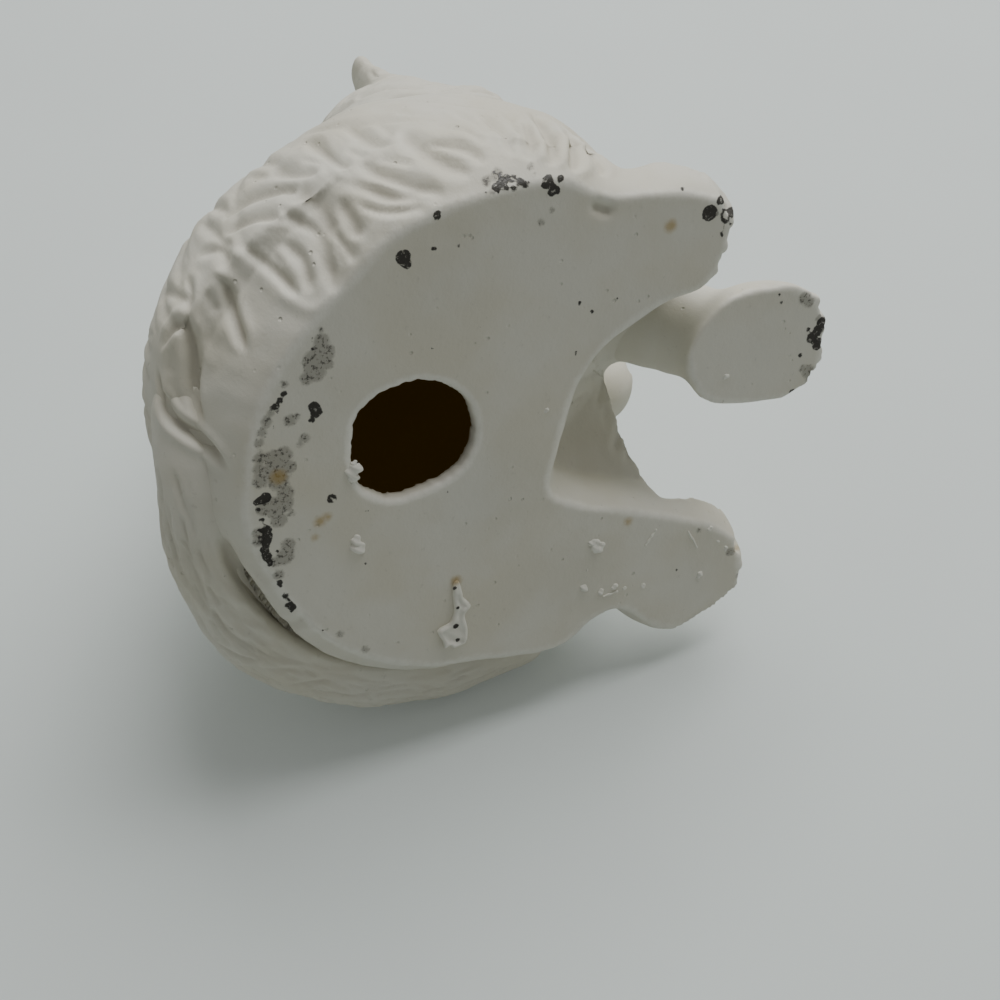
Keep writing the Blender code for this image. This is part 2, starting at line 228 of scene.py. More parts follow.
def addObject(name, points, faces, finish, marks=None):
    mesh = bpy.data.meshes.new(name)
    mesh.vertices.add(len(points))
    mesh.vertices.foreach_set("co", (points * 0.001).astype(np.float32).ravel())
    mesh.loops.add(4 * len(faces))
    mesh.loops.foreach_set("vertex_index", faces.astype(np.int32).ravel())
    mesh.polygons.add(len(faces))
    mesh.polygons.foreach_set("loop_start", (4 * np.arange(len(faces))).astype(np.int32))
    mesh.update(calc_edges=True)
    mesh.validate()
    mesh.shade_smooth()
    for mark, values in (marks or {}).items():
        layer = mesh.attributes.new(mark, "FLOAT", "POINT")
        layer.data.foreach_set("value", values.astype(np.float32))
    mesh.materials.append(finish)
    piece = bpy.data.objects.new(name, mesh)
    bpy.context.scene.collection.objects.link(piece)
    return piece


# Modelling strokes cut into the clay: each is a line of points with a width and a share of the usual depth

stroke = {
    "fadeIn": 0.22,                            # shares of the length in which a stroke begins and ends
    "fadeOut": 0.18,
    "heap": 0.3,                               # clay pushed up beside it, as a share of its depth
    "heapAway": 2.1,                           # and how many widths away
}


def strokeRelief(points, outward, strokes):
    cut = np.zeros(len(points))
    heap = np.zeros(len(points))
    ridge = np.zeros(len(points))
    for line, width, depth in strokes:
        line = smoothLine(np.asarray(line, float), 3) if len(line) > 2 else np.asarray(line, float)
        reach = 4.0 * width
        above, below = points > line.min(axis=0) - reach, points < line.max(axis=0) + reach
        near = np.flatnonzero((above & below).all(axis=1))
        if not len(near):
            continue
        some = points[near]
        lengths = np.linalg.norm(np.diff(line, axis=0), axis=1)
        whole = lengths.sum() + tiny
        nearest = np.full(len(near), 1e9)
        along = np.zeros(len(near))
        done = 0.0
        for start, end, length in zip(line, line[1:], lengths):
            share = np.clip(((some - start) @ (end - start)) / (length ** 2 + tiny), 0, 1)
            offset = some - start - share[:, None] * (end - start)
            upright = (offset * outward[near]).sum(axis=1)
            gap = np.sqrt(np.maximum((offset ** 2).sum(axis=1) - 0.75 * upright ** 2, 0))
            closer = gap < nearest
            nearest[closer] = gap[closer]
            along[closer] = ((done + share * length) / whole)[closer]
            done += length
        taper = np.clip(np.minimum(along / stroke["fadeIn"], (1 - along) / stroke["fadeOut"]), 0, 1) ** 0.6
        thick = width * (0.5 + 0.5 * taper)
        deep = kitten["strokeDepth"] * depth * taper
        if depth < 0:
            ridge[near] = np.maximum(ridge[near], -deep * np.exp(-(nearest / thick) ** 2))
            continue
        cut[near] = np.maximum(cut[near], deep * np.exp(-(nearest / thick) ** 1.8))
        pushed = stroke["heap"] * deep * np.exp(-(nearest / thick - stroke["heapAway"]) ** 2)
        heap[near] = np.maximum(heap[near], pushed)
    return np.maximum(heap * (1 - np.clip(1.2 * cut, 0, 1)), ridge) - cut


def unevenness(points, size, seed):
    total = np.zeros(len(points))
    for k in range(6):
        angle = seed + 2.4 * k
        tilt = 0.9 * math.sin(1.7 * k + seed)
        wave = np.array((math.cos(angle) * math.cos(tilt), math.sin(angle) * math.cos(tilt), math.sin(tilt)))
        total += np.sin(points @ wave * (2 * math.pi / (size * (0.7 + 0.13 * k))) + 1.9 * k + seed)
    return total / 3.5


def spread(count, seed):
    k = np.arange(count) + seed
    return (0.5 + 0.7548776662 * k) % 1, (0.5 + 0.5698402910 * k) % 1, (0.5 + 0.3247179572 * k * 1.7) % 1


def combed(form, starts, flow, length, width, depth, seed):
    starts = drawnOnto(form, starts, 3, 3.0)
    _, turn, vary = spread(len(starts), seed + 0.37)
    stations = 9
    step = length * (0.65 + 0.7 * vary) / (stations - 1)
    lines = [starts]
    here = starts
    for k in range(stations - 1):
        out = outwardOf(form, here)
        way = flow(here)
        way = way - out * (way * out).sum(axis=1, keepdims=True)
        way /= np.linalg.norm(way, axis=1, keepdims=True) + tiny
        sideways = np.cross(out, way)
        bend = (turn - 0.5) * 0.6 + (vary - 0.5) * 1.2 * (k / stations - 0.4)
        way = way * np.cos(bend)[:, None] + sideways * np.sin(bend)[:, None]
        here = drawnOnto(form, here + way * step[:, None], 1)
        lines.append(here)
    lines = np.stack(lines, axis=1)
    widths, depths = width * (0.75 + 0.5 * vary), depth * (0.6 + 0.6 * turn)
    return list(zip(lines, widths, depths))


def startsRound(form, middle, count, seed, low=-1.0, high=1.0):
    up, turn, _ = spread(count, seed)
    rise = low + (high - low) * up
    angle = 2 * math.pi * turn
    flat = np.sqrt(np.maximum(1 - rise ** 2, 0))
    way = np.stack((flat * np.cos(angle), flat * np.sin(angle), rise), axis=1)
    near = np.zeros(count)
    far = np.full(count, 90.0)
    for _ in range(22):
        half = (near + far) / 2
        inside = form((np.array(middle) + way * half[:, None]).T) < 0
        near = np.where(inside, half, near)
        far = np.where(inside, far, half)
    return np.array(middle) + way * near[:, None]


# Spots and blots, each x, y on the sole plane and radius: a cone of height radius - distance

smokeFrom = np.array((-117.6, 103.8, -199.6))  # so marks near the rim run a little up the wall behind it


def spots(points, rows, ring=0.0):
    best = np.full(len(points), -3.0)
    rise = np.clip(points[:, 2], -1, 60)
    settled = smokeFrom + (points - smokeFrom) * (smokeFrom[2] / (smokeFrom[2] - rise))[:, None]
    for x, y, radius in rows:
        gap = np.sqrt((settled[:, 0] - x) ** 2 + (settled[:, 1] - y) ** 2) + np.clip(rise - 5, 0, None)
        value = radius - gap if not ring else ring - np.abs(gap - radius)
        best = np.maximum(best, value)
    return best


# Shader wiring

class Wire:                                    # one output that takes part in sums
    def __init__(self, wiring, socket):
        self.wiring = wiring
        self.socket = socket

    def maths(self, operation, first, second):
        return self.wiring.node("ShaderNodeMath", {"operation": operation}, {0: first, 1: second})

    def __add__(self, other):
        return self.maths("ADD", self, other)

    def __radd__(self, other):
        return self.maths("ADD", other, self)

    def __sub__(self, other):
        return self.maths("SUBTRACT", self, other)

    def __rsub__(self, other):
        return self.maths("SUBTRACT", other, self)

    def __mul__(self, other):
        return self.maths("MULTIPLY", self, other)

    def __rmul__(self, other):
        return self.maths("MULTIPLY", other, self)

    def between(self, low, high):
        limits = {"Value": self, "From Min": low, "From Max": high}
        return self.wiring.node("ShaderNodeMapRange", {"interpolation_type": "SMOOTHSTEP"}, limits, "Result")


class Wiring:
    def __init__(self, tree):
        self.tree = tree

    def plug(self, socket, value):
        if isinstance(value, Wire):
            self.tree.links.new(value.socket, socket)
        elif isinstance(value, tuple) and len(value) == 3 and len(socket.default_value) == 4:
            socket.default_value = (*value, 1.0)
        else:
            socket.default_value = value

    def node(self, kind, settings, inputs, output=0):
        made = self.tree.nodes.new(kind)
        for key, value in settings.items():
            setattr(made, key, value)
        for key, value in inputs.items():
            self.plug(made.inputs[key], value)
        return Wire(self, made.outputs[output])


class Finish(Wiring):
    def __init__(self, name):
        self.material = bpy.data.materials.new(name)
        self.material.use_nodes = True
        super().__init__(self.material.node_tree)
        self.shader = self.tree.nodes["Principled BSDF"]

    def place(self):
        return self.node("ShaderNodeTexCoord", {}, {}, "Object")

    def mark(self, name):
        return self.node("ShaderNodeAttribute", {"attribute_name": name}, {}, "Fac")

    def noise(self, where, size, detail=4.0, roughness=0.55):
        grains = {"Vector": where, "Scale": 1000.0 / size, "Detail": detail, "Roughness": roughness}
        return self.node("ShaderNodeTexNoise", {}, grains, "Fac")

    def stretched(self, where, scale):
        return self.node("ShaderNodeVectorMath", {"operation": "MULTIPLY"}, {0: where, 1: scale})

    def mixed(self, share, under, over):
        return self.node("ShaderNodeMix", {"data_type": "RGBA"}, {0: share, 6: under, 7: over}, 2)

    def bump(self, height, millimetres):
        relief = {"Height": height, "Strength": 1.0, "Distance": millimetres * 0.001}
        return self.node("ShaderNodeBump", {}, relief)

    def set(self, **values):
        for key, value in values.items():
            self.plug(self.shader.inputs[key.replace("_", " ")], value)
        return self.material


clay = {
    "white": (0.665, 0.648, 0.565),
    "warmWhite": (0.635, 0.605, 0.50),
    # painted highlight along the sole rims and round the vent, and the paler colour of the crumbs
    "highlightAndCrumbTone": (0.86, 0.85, 0.78),
    # painted shade: clay darkened in the strokes and creases, more where they cut deeper
    "grooveTone": (0.40, 0.37, 0.30),
    "grime": (0.235, 0.22, 0.185),
    "soot": (0.018, 0.015, 0.012),
    "rust": (0.40, 0.27, 0.07),
    "haze": (0.52, 0.53, 0.50),
    # painted shade: the skin of the hollow darkened to brown
    "cavityShadeTone": (0.19, 0.125, 0.06),
    "cavityPaintedGlow": (0.0095, 0.0056, 0.0005),    # painted glow: emission that stands in for light coming through the thin wall
    "roughness": 0.62,
    "cloud": 22.0,                             # from here down, the sizes of what varies over the clay
    "grain": 0.55,
    "fleck": 1.6,
    "ragged": 1.1,
    "stipple": 0.8,
    "hair": 1.3,
    "pit": 2.6,
}


def bisqueFinish(name, tone=1.0):
    finish = Finish(name)
    place = finish.place()
    cloud = finish.noise(place, clay["cloud"], 3.0)
    grain = finish.noise(place, clay["grain"], 3.0, 0.6)
    fleck = finish.noise(place, clay["fleck"], 4.0, 0.7)
    ragged = (finish.noise(place, clay["ragged"], 5.0, 0.65) - 0.5) * 1.9
    white = tuple(c * tone for c in clay["white"])
    warm = tuple(c * tone for c in clay["warmWhite"])
    colour = finish.mixed(cloud.between(0.36, 0.66), white, warm)
    colour = finish.mixed(fleck.between(0.60, 0.76) * 0.22, colour, clay["grime"])
    # painted shade in the strokes and creases
    groove = finish.mark("groove")
    colour = finish.mixed((groove + (fleck - 0.5) * 0.5).between(0.1, 1.0) * 0.5, colour, clay["grooveTone"])
    inner = finish.mark("inner")
    # painted highlight on the rims and round the vent, and the crumbs' paler colour
    edgeHighlightAndCrumb = (finish.mark("edgeHighlightAndCrumb") + (fleck - 0.5) * 0.8).between(0.25, 0.95)
    colour = finish.mixed(edgeHighlightAndCrumb * 0.55, colour, clay["highlightAndCrumbTone"])
    # painted shade on the skin of the hollow
    colour = finish.mixed(inner, colour, clay["cavityShadeTone"])
    stipple = finish.noise(place, clay["stipple"], 3.0, 0.7)
    haze = (finish.mark("haze") * 0.12 + (cloud - 0.5) * 3.0).between(-0.4, 1.6)
    colour = finish.mixed(haze * 0.16, colour, clay["haze"])
    mottle = (finish.mark("mottle") + ragged * 0.5).between(-0.15, 0.55)
    colour = finish.mixed(mottle * 0.6, colour, clay["grime"])
    colour = finish.mixed(mottle * stipple.between(0.50, 0.64) * 0.75, colour, clay["soot"])
    rust = (finish.mark("rust") + ragged * 0.5).between(-0.7, 0.75)
    colour = finish.mixed(rust * 0.7, colour, clay["rust"])
    soot = (finish.mark("soot") + ragged * 0.34).between(-0.06, 0.10)
    pitted = 1.0 - stipple.between(0.56, 0.66) * 0.55
    colour = finish.mixed(soot * pitted * 0.95, colour, clay["soot"])
    hairs = finish.noise(finish.stretched(place, (1.0, 1.0, 0.22)), clay["hair"], 3.0, 0.6)
    cells = {"Vector": place, "Scale": 1000.0 / clay["pit"]}
    pits = finish.node("ShaderNodeTexVoronoi", {}, cells, "Distance")
    pitShare = (1.0 - pits.between(0.05, 0.16)) * finish.noise(place, 9.0, 2.0).between(0.52, 0.62)
    height = grain * 0.03 + hairs * 0.05 + fleck * 0.05 - pitShare * 0.25 + soot * stipple * 0.12
    roughness = clay["roughness"] + (grain - 0.5) * 0.2 - soot * 0.22
    # painted glow from the skin of the hollow
    glow = finish.mixed(inner, (0, 0, 0), clay["cavityPaintedGlow"])
    return finish.set(
        Base_Color=colour, Roughness=roughness, Normal=finish.bump(height, 1.0),
        Emission_Color=glow, Emission_Strength=1.0,
    )


bisque = bisqueFinish("bisque")
slipFinish = bisqueFinish("slip", 0.97)
print("finishes ready")


# Body: rump, haunches, chest and hind feet on one flat sole

body = {
    "sole": (                                  # outline of the base with both hind feet
        (4, 42), (-12, 40), (-23, 34), (-32, 26), (-39, 19), (-44, 6), (-46, -7), (-43, -17), (-43, -26),
        (-42, -36), (-38, -41.5), (-30, -41), (-25.5, -38), (-23, -30), (-18, -22), (-10, -16), (0, -14),
        (10, -13), (14, -18), (17, -28), (21, -42), (26, -53.5), (33, -58), (41, -58.5), (47, -52), (46, -42),
        (40, -33), (41, -26), (46, -19), (45, -3), (44, 9), (37, 24), (24, 35), (12, 41),
    ),
    "vent": (                                  # edge of the hole cut in it
        (-4.0, 24.3), (-7.1, 24.2), (-9.1, 23.4), (-10.4, 22.1), (-11.7, 20.7), (-12.5, 18.8), (-13.1, 16.8),
        (-13.6, 14.8), (-13.6, 12.9), (-13.2, 10.9), (-12.4, 8.7), (-11.1, 6.6), (-9.2, 4.7), (-6.8, 3.3),
        (-3.9, 2.5), (-1.3, 2.4), (0.9, 3.0), (3.3, 4.2), (5.1, 6.3), (6.3, 8.8), (7.1, 11.4), (7.8, 14.5),
        (7.8, 17.0), (6.7, 19.7), (5.3, 21.8), (3.4, 23.1), (0.5, 23.9), (-1.6, 24.4),
    ),
    "rump": ((0, 9, 27), (46, 42, 33), 0),     # each mass: middle, radii and turn
    "haunches": (((-27, -5.5, 27), (23.6, 32, 27), 6), ((26, -8, 27), (24, 32, 27), -10)),
    "masses": (
        ((-1, 4, 46), (34, 29, 34), 0), ((-4, -8, 67), (30, 25, 27), 0), ((-5, -14, 87), (24, 19, 16), 0),
        ((-13, 38.7, 20), (10, 10, 10), 0),
    ),
    "leftShin": ((23, -22, 20, 15.0), (28, -38, 5, 6.0)),
    "feet": (((-34, -28, 0), (13.6, 20, 14.5), 0), ((34, -41, 0), (14, 24, 11.0), -22)),
    "bodySwell": (9.0, 9.0, 12.0, 1.2),        # most, height, and from which height it widens at what slope
    "footSwell": (2.6, 3.5, 9.0, 1.6),
    "lipHeight": 0.28,
    "lipWidth": 0.9,
    # start, end, width and depth of each dent in the sole; both ends of the crease, each with its radius
    "dents": (((-41.3, -15.2), (-40.5, -17.3), 0.9, 1.1), ((-27.6, -39.5), (-27.2, -39.3), 0.5, 0.3)),
    "ankleCrease": ((-50, -24, 6, 4.5), (-47, -27, 20, 6.0)),
    "passageCentre": (-5, -15),
    "passageRadius": 6.0,
    "passageHeights": (87, 112),
    "blend": 9.0,
    "footBlend": 5.0,
    "tracedShare": 0.82,
    "locks": (420, 21.0, 1.1, 0.50, 0.0),     # count, length, width, share of depth and start of the row
    "hairs": (520, 13.0, 0.55, 0.24, 5.0),
}


bodySole = solePlan(body["sole"])


def bodyForm(place):
    x, y, z = place
    standing = (x, y, np.maximum(z, 0))
    mass = standingLump(place, *body["rump"])
    for haunch in body["haunches"]:
        mass = blend(mass, standingLump(place, *haunch), body["blend"])
    for part in body["masses"]:
        mass = blend(mass, lump(place, *part), body["blend"])
    mass = blend(mass, limb(standing, body["leftShin"], 5), body["footBlend"])
    for foot in body["feet"]:
        mass = blend(mass, lump(standing, *foot), body["footBlend"])
    mass = trim(mass, -roll(place, *body["ankleCrease"]), 3.0)
    bodySwell = swell(z, *body["bodySwell"])
    footSwell = swell(z, *body["footSwell"])
    feet = np.clip((-10.0 - y) / 14.0, 0, 1)
    return np.maximum(mass, bodySole(x, y) - bodySwell * (1 - feet) - footSwell * feet)


ventPlan = solePlan(body["vent"], 60.0, 0.25)


def ventHole(place):
    x, y, z = place
    ragged = 0.10 * np.sin(1.9 * x + 2.3 * y) + 0.07 * np.sin(4.1 * x - 3.3 * y)
    return np.maximum(ventPlan(x, y) + ragged, z - kitten["floor"] - 5)


def passage(place):
    x, y, z = place
    plan = np.sqrt((x - body["passageCentre"][0]) ** 2 + (y - body["passageCentre"][1]) ** 2)
    low, high = body["passageHeights"]
    return np.maximum(plan - body["passageRadius"], np.maximum(low - z, z - high))


def bodyShell(place):
    mass = bodyForm(place)
    clayMass = trim(mass, -place[2], kitten["groundRounding"])
    hollow = np.maximum(mass + kitten["wall"], kitten["floor"] - place[2])
    opened = np.minimum(np.minimum(hollow, ventHole(place)), passage(place))
    return trim(clayMass, -opened, 0.9)


tracedBodyStrokes = [
    ([(-43.5, 25, 30), (-44.5, 23.5, 29.5), (-44.5, 23, 21.5), (-45, 22.5, 13)], 1.3, 0.9),
    ([(-40.5, 29.5, 29.5), (-41, 29, 25), (-41.5, 28, 21.5), (-43, 26, 17)], 1.9, 0.9),
    ([(-33, 38.5, 27), (-36.5, 35, 25.5), (-39, 31.5, 22), (-40, 30, 19.5), (-40.5, 29.5, 15.5)], 1.5, 1),
    ([(-40.5, 29.5, 18.5), (-40, 28, 12), (-39, 27.5, 9.5), (-38, 27.5, 7), (-36.5, 27.5, 5)], 2.2, 1),
    ([(-31, 40, 22), (-33, 38.5, 22), (-36, 35.5, 18.5), (-37, 34, 15), (-37, 32.5, 13)], 1.6, 1),
    ([(-38.5, 32.5, 16), (-37.5, 31.5, 13), (-37, 29.5, 9), (-35.5, 29, 6), (-32, 28.5, 2),
      (-30, 28.5, 0.5)], 1.6, 1),
    ([(-32.5, 38.5, 16), (-32, 37.5, 13), (-30.5, 35, 8), (-28.5, 33, 3.5)], 1.2, 0.95),
    ([(-34, 36.5, 13.5), (-32, 34.5, 9.5), (-31, 34, 8)], 1.1, 0.45),
    ([(-34, 33, 12), (-34, 32.5, 9), (-33, 31.5, 6.5), (-29.5, 31.5, 2.5)], 1.3, 0.85),
    ([(-28, 43, 25), (-29, 41.5, 23), (-30.5, 40.5, 19), (-29, 40, 13.5)], 1.3, 0.8),
    ([(-41.5, 25, 9.5), (-40.5, 25, 7), (-39.5, 24.5, 5), (-37.5, 24, 2.5)], 1.8, 1),
    ([(-38.5, 27.5, 8), (-36, 26, 3.5), (-34.5, 25, 1)], 1.1, 0.7),
    ([(-36.5, 27, 5), (-33.5, 27, 1.5)], 1, 0.4),
    ([(-28.5, 42, 14), (-26.5, 41.5, 13), (-24, 41, 12), (-21, 41, 7), (-19.5, 41, 5)], 1, 1.2),
    ([(-25, 45.5, 23), (-24.5, 46, 18.5), (-21, 47.5, 14.5), (-19.5, 47.5, 14)], 0.9, 0.7),
    ([(-26, 44.5, 14.5), (-24.5, 44, 14), (-23, 43, 12.5)], 1, 0.5),
    ([(-16.5, 50, 16), (-12, 50.5, 14.5)], 0.9, 0.4),
    ([(-11, 51.5, 17.5), (-9, 51, 14.5)], 0.9, 0.5),
    ([(-47, 17.5, 29), (-47.5, 17.5, 25.5), (-47.5, 16.5, 17), (-48.5, 14.5, 13.5)], 1.7, 0.8),
    ([(-49, 12, 18), (-49, 12, 13), (-48, 10, 6.5), (-46.5, 6, 3)], 1.7, 0.95),
    ([(-49, 11.5, 11.5), (-49.5, 6.5, 8), (-48.5, 4.5, 5.5), (-48, 3.5, 4)], 1.3, 0.75),
    ([(-50.5, 7, 16), (-50.5, 4, 13), (-51, 3, 9.5), (-50, 2, 7)], 1, 0.55),
    ([(-47, 18.5, 12), (-47, 15.5, 9), (-47, 13.5, 8)], 1.1, 0.5),
    ([(-46, 21, 13), (-45.5, 19.5, 10), (-45, 16.5, 5.5), (-44.5, 12.5, 2.5), (-44.5, 11, 2)], 1.6, 0.95),
    ([(-44, 23, 11.5), (-43.5, 20.5, 6.5), (-43, 17, 3.5), (-44, 13, 2.5)], 1.5, 0.85),
    ([(-42, 23.5, 7.5), (-41.5, 21, 4), (-42, 16, 1.5), (-42.5, 14, 1.5)], 1.4, 0.75),
    ([(-48.5, 14, 25.5), (-48.5, 13.5, 22), (-48.5, 14, 16)], 1.1, 0.45),
    ([(-49.5, 10, 26), (-50, 8, 23.5), (-50.5, 5.5, 22)], 1, 0.4),
    ([(-49.5, 10, 21), (-50.5, 5.5, 18.5)], 0.9, 0.35),
    ([(-51, 1.5, 22.5), (-51, 0, 14), (-50.5, 0.5, 8), (-49, 0.5, 5)], 1.1, 0.5),
    ([(-51, -2, 20), (-51, -2, 10), (-50, -1.5, 6), (-49, -1.5, 4)], 1.1, 0.8),
    ([(-50.5, -8, 21.5), (-50.5, -7, 15.5), (-51, -5, 8.5)], 1.1, 0.8),
    ([(-50.5, -10, 18), (-50.5, -7.5, 11), (-50.5, -5.5, 6), (-49, -4, 3.5)], 1.3, 1.2),
    ([(-50.5, -3.5, 7), (-48.5, -4, 3)], 1, 0.6),
    ([(-49.5, -14, 23), (-49.5, -12.5, 16), (-50, -10, 8.5), (-48, -7, 2)], 1.4, 1.7),
    ([(-48.5, -18, 17), (-49, -15.5, 10), (-48, -13, 5.5), (-47, -10.5, 1.5)], 1.3, 1.7),
    ([(-47.5, -20, 15), (-47.5, -18.5, 10), (-46.5, -18, 7), (-45, -17.5, 3.5)], 1.2, 1.3),
    ([(-46, 20.5, 19.5), (-46.5, 19.5, 13.5)], 1, 0.4),
    ([(-42.5, 26, 25), (-44, 24.5, 19.5), (-44, 24.5, 14.5)], 1.1, 0.4),
    ([(-37.5, 32.5, 32.5), (-39.5, 30.5, 26.5)], 1.1, 0.4),
]
# raised edges of the locks between those strokes
tracedBodyRidges = [
    ([(-32.5, 38.5, 20.5), (-35, 36.5, 17), (-36.5, 33.5, 13), (-36, 31, 11), (-36, 29.5, 7.5),
      (-33.5, 28.5, 3.5)], 1.3, -0.45),
    ([(-34, 37.5, 22.5), (-36, 35, 21.5), (-38, 33, 20.5), (-39.5, 31, 18)], 1.4, -0.4),
    ([(-31, 40, 20), (-31.5, 39, 14), (-30, 37, 11.5), (-29, 35.5, 7), (-28, 34.5, 4.5), (-27, 32, 1.5),
      (-28, 30, 1), (-30, 28.5, 1)], 1.2, -0.5),
    ([(-28.5, 42.5, 16.5), (-28.5, 42, 14), (-27.5, 40.5, 13)], 0.8, -0.5),
    ([(-39, 31.5, 25.5), (-40, 30, 23), (-41.5, 28, 19), (-42.5, 26.5, 14.5)], 1.3, -0.35),
    ([(-44, 24.5, 18), (-44, 24, 12.5), (-44, 21.5, 9.5), (-44.5, 19.5, 7), (-44.5, 17, 5),
      (-44.5, 14.5, 4)], 1, -0.45),
    ([(-42, 24, 8), (-42, 22, 6), (-42, 20, 4), (-42.5, 17.5, 3), (-43.5, 14.5, 2.5),
      (-44, 12, 2)], 1, -0.45),
    ([(-41, 23, 5.5), (-40.5, 21, 2.5), (-40.5, 18, 1.5), (-41.5, 16, 1), (-42.5, 14, 1)], 1.1, -0.45),
    ([(-46.5, 19, 27), (-46.5, 19, 20.5)], 1.2, -0.4),
    ([(-45.5, 21.5, 25.5), (-45, 22, 19), (-45, 22, 15)], 1, -0.35),
    ([(-48.5, 10, 9), (-48.5, 7, 6.5), (-48, 4.5, 4.5)], 1, -0.4),
    ([(-50.5, -8, 8), (-49.5, -7, 4.5), (-48, -6, 2.5)], 1.2, -0.45),
    ([(-49.5, -14.5, 12.5), (-49, -11.5, 5.5), (-47.5, -9.5, 2)], 1.2, -0.5),
    ([(-48.5, -16.5, 10), (-47, -16.5, 7), (-46, -15, 3.5)], 1.2, -0.5),
    ([(-18.5, 46.5, 13), (-16.5, 45.5, 12), (-15.5, 44.5, 8.5)], 1.6, -0.3),
    ([(-25, 44.5, 14.5), (-22, 43.5, 12.5), (-20, 43, 9)], 2.2, -0.35),
]
# creases that run on across the tail's joint, and the deep one between the tail and the base
jointCreases = [
    ([(-15, 50.5, 18.5), (-17, 50, 17.5), (-19, 49, 17), (-20.5, 48.5, 15), (-19, 47.5, 14), (-16, 47, 13),
      (-12, 47, 12.3), (-8.5, 47, 10.5), (-6.5, 46.5, 8.5)], 1.0, 1.15),
    ([(-11, 51.5, 18.5), (-8.5, 51.5, 16), (-6.5, 51, 14), (-5, 49.7, 12.3), (-3.6, 47.5, 9.6),
      (-2.8, 45.5, 7), (-1, 43, 4.5), (1, 42, 3.5)], 0.9, 1.6),
    ([(13, 44.5, 4.5), (19, 42.5, 5), (23, 40, 5), (28, 36.5, 6), (33.5, 32, 7), (38.5, 26.5, 8),
      (42, 20.5, 8), (45, 13.5, 8), (47, 5.5, 8)], 1.7, 1.9),
]
# grooves between the toes, which run out under the rim
toeStrokes = [
    ([(-38.5, -33, 9), (-39, -37, 6), (-39.3, -40.6, 1), (-39.3, -41, -5)], 1.0, 1.3),
    ([(-34.5, -34, 10), (-34.6, -39, 6), (-34.6, -42.4, 1), (-34.6, -42.8, -5)], 1.0, 1.3),
    ([(-30.2, -33.5, 9), (-30, -38, 6), (-30, -41.8, 1), (-30, -42, -5)], 1.0, 1.2),
    ([(30.5, -50, 9), (30, -55, 6), (30, -57.6, 1), (30, -58, -5)], 1.2, 1.3),
    ([(36.5, -51, 10), (37, -56, 7), (37.2, -59.6, 1), (37.2, -60, -5)], 1.2, 1.3),
    ([(42, -49, 9), (43.5, -54, 6), (44.9, -56.4, 1), (45.2, -56.8, -5)], 1.2, 1.3),
]


# Which way the coat runs: back along the flanks, down over the rump and the chest

def furFlow(points):
    x, y, z = points.T
    side = np.clip(x / 12, -1, 1)
    rump = np.clip((y - 16) / 16, 0, 1)
    knee = np.clip((-20 - y) / 12, 0, 1)
    flank = np.abs(side) * (1 - rump) * np.clip((66 - z) / 20, 0, 1)
    across = flank * knee * side * -0.6 + (1 - flank) * 0.12 * np.sin(z * 0.09) * side
    along = flank * (-0.9 + 0.6 * knee) + (1 - flank) * 0.2 * np.sin(z * 0.07 + 0.5)
    down = flank * (-0.42 - 0.2 * knee) - (1 - flank)
    return np.stack((across, along, down), axis=1)


def onTraced(points):                          # the stretch whose strokes are laid one by one above
    x, y, z = points.T
    return (x < 4) & (z < 33) & (y > -24)


def bodyFur():
    rows = []
    for layer in ("locks", "hairs"):
        count, length, width, depth, seed = body[layer]
        starts = startsRound(bodyForm, (-2, 2, 40), count, seed, -0.85, 0.97)
        x, y, z = starts.T
        foot = (z < 16) & (y < -18)
        behindTail = (y > 36) & (z < 24) & (x > -14) | (x > 38) & (z < 20) & (y > -14)
        hidden = (z > 92) | (z < 3) | foot | behindTail | onTraced(starts)
        rows += combed(bodyForm, starts[~hidden], furFlow, length, width, depth, int(seed) + 3)
    return rows


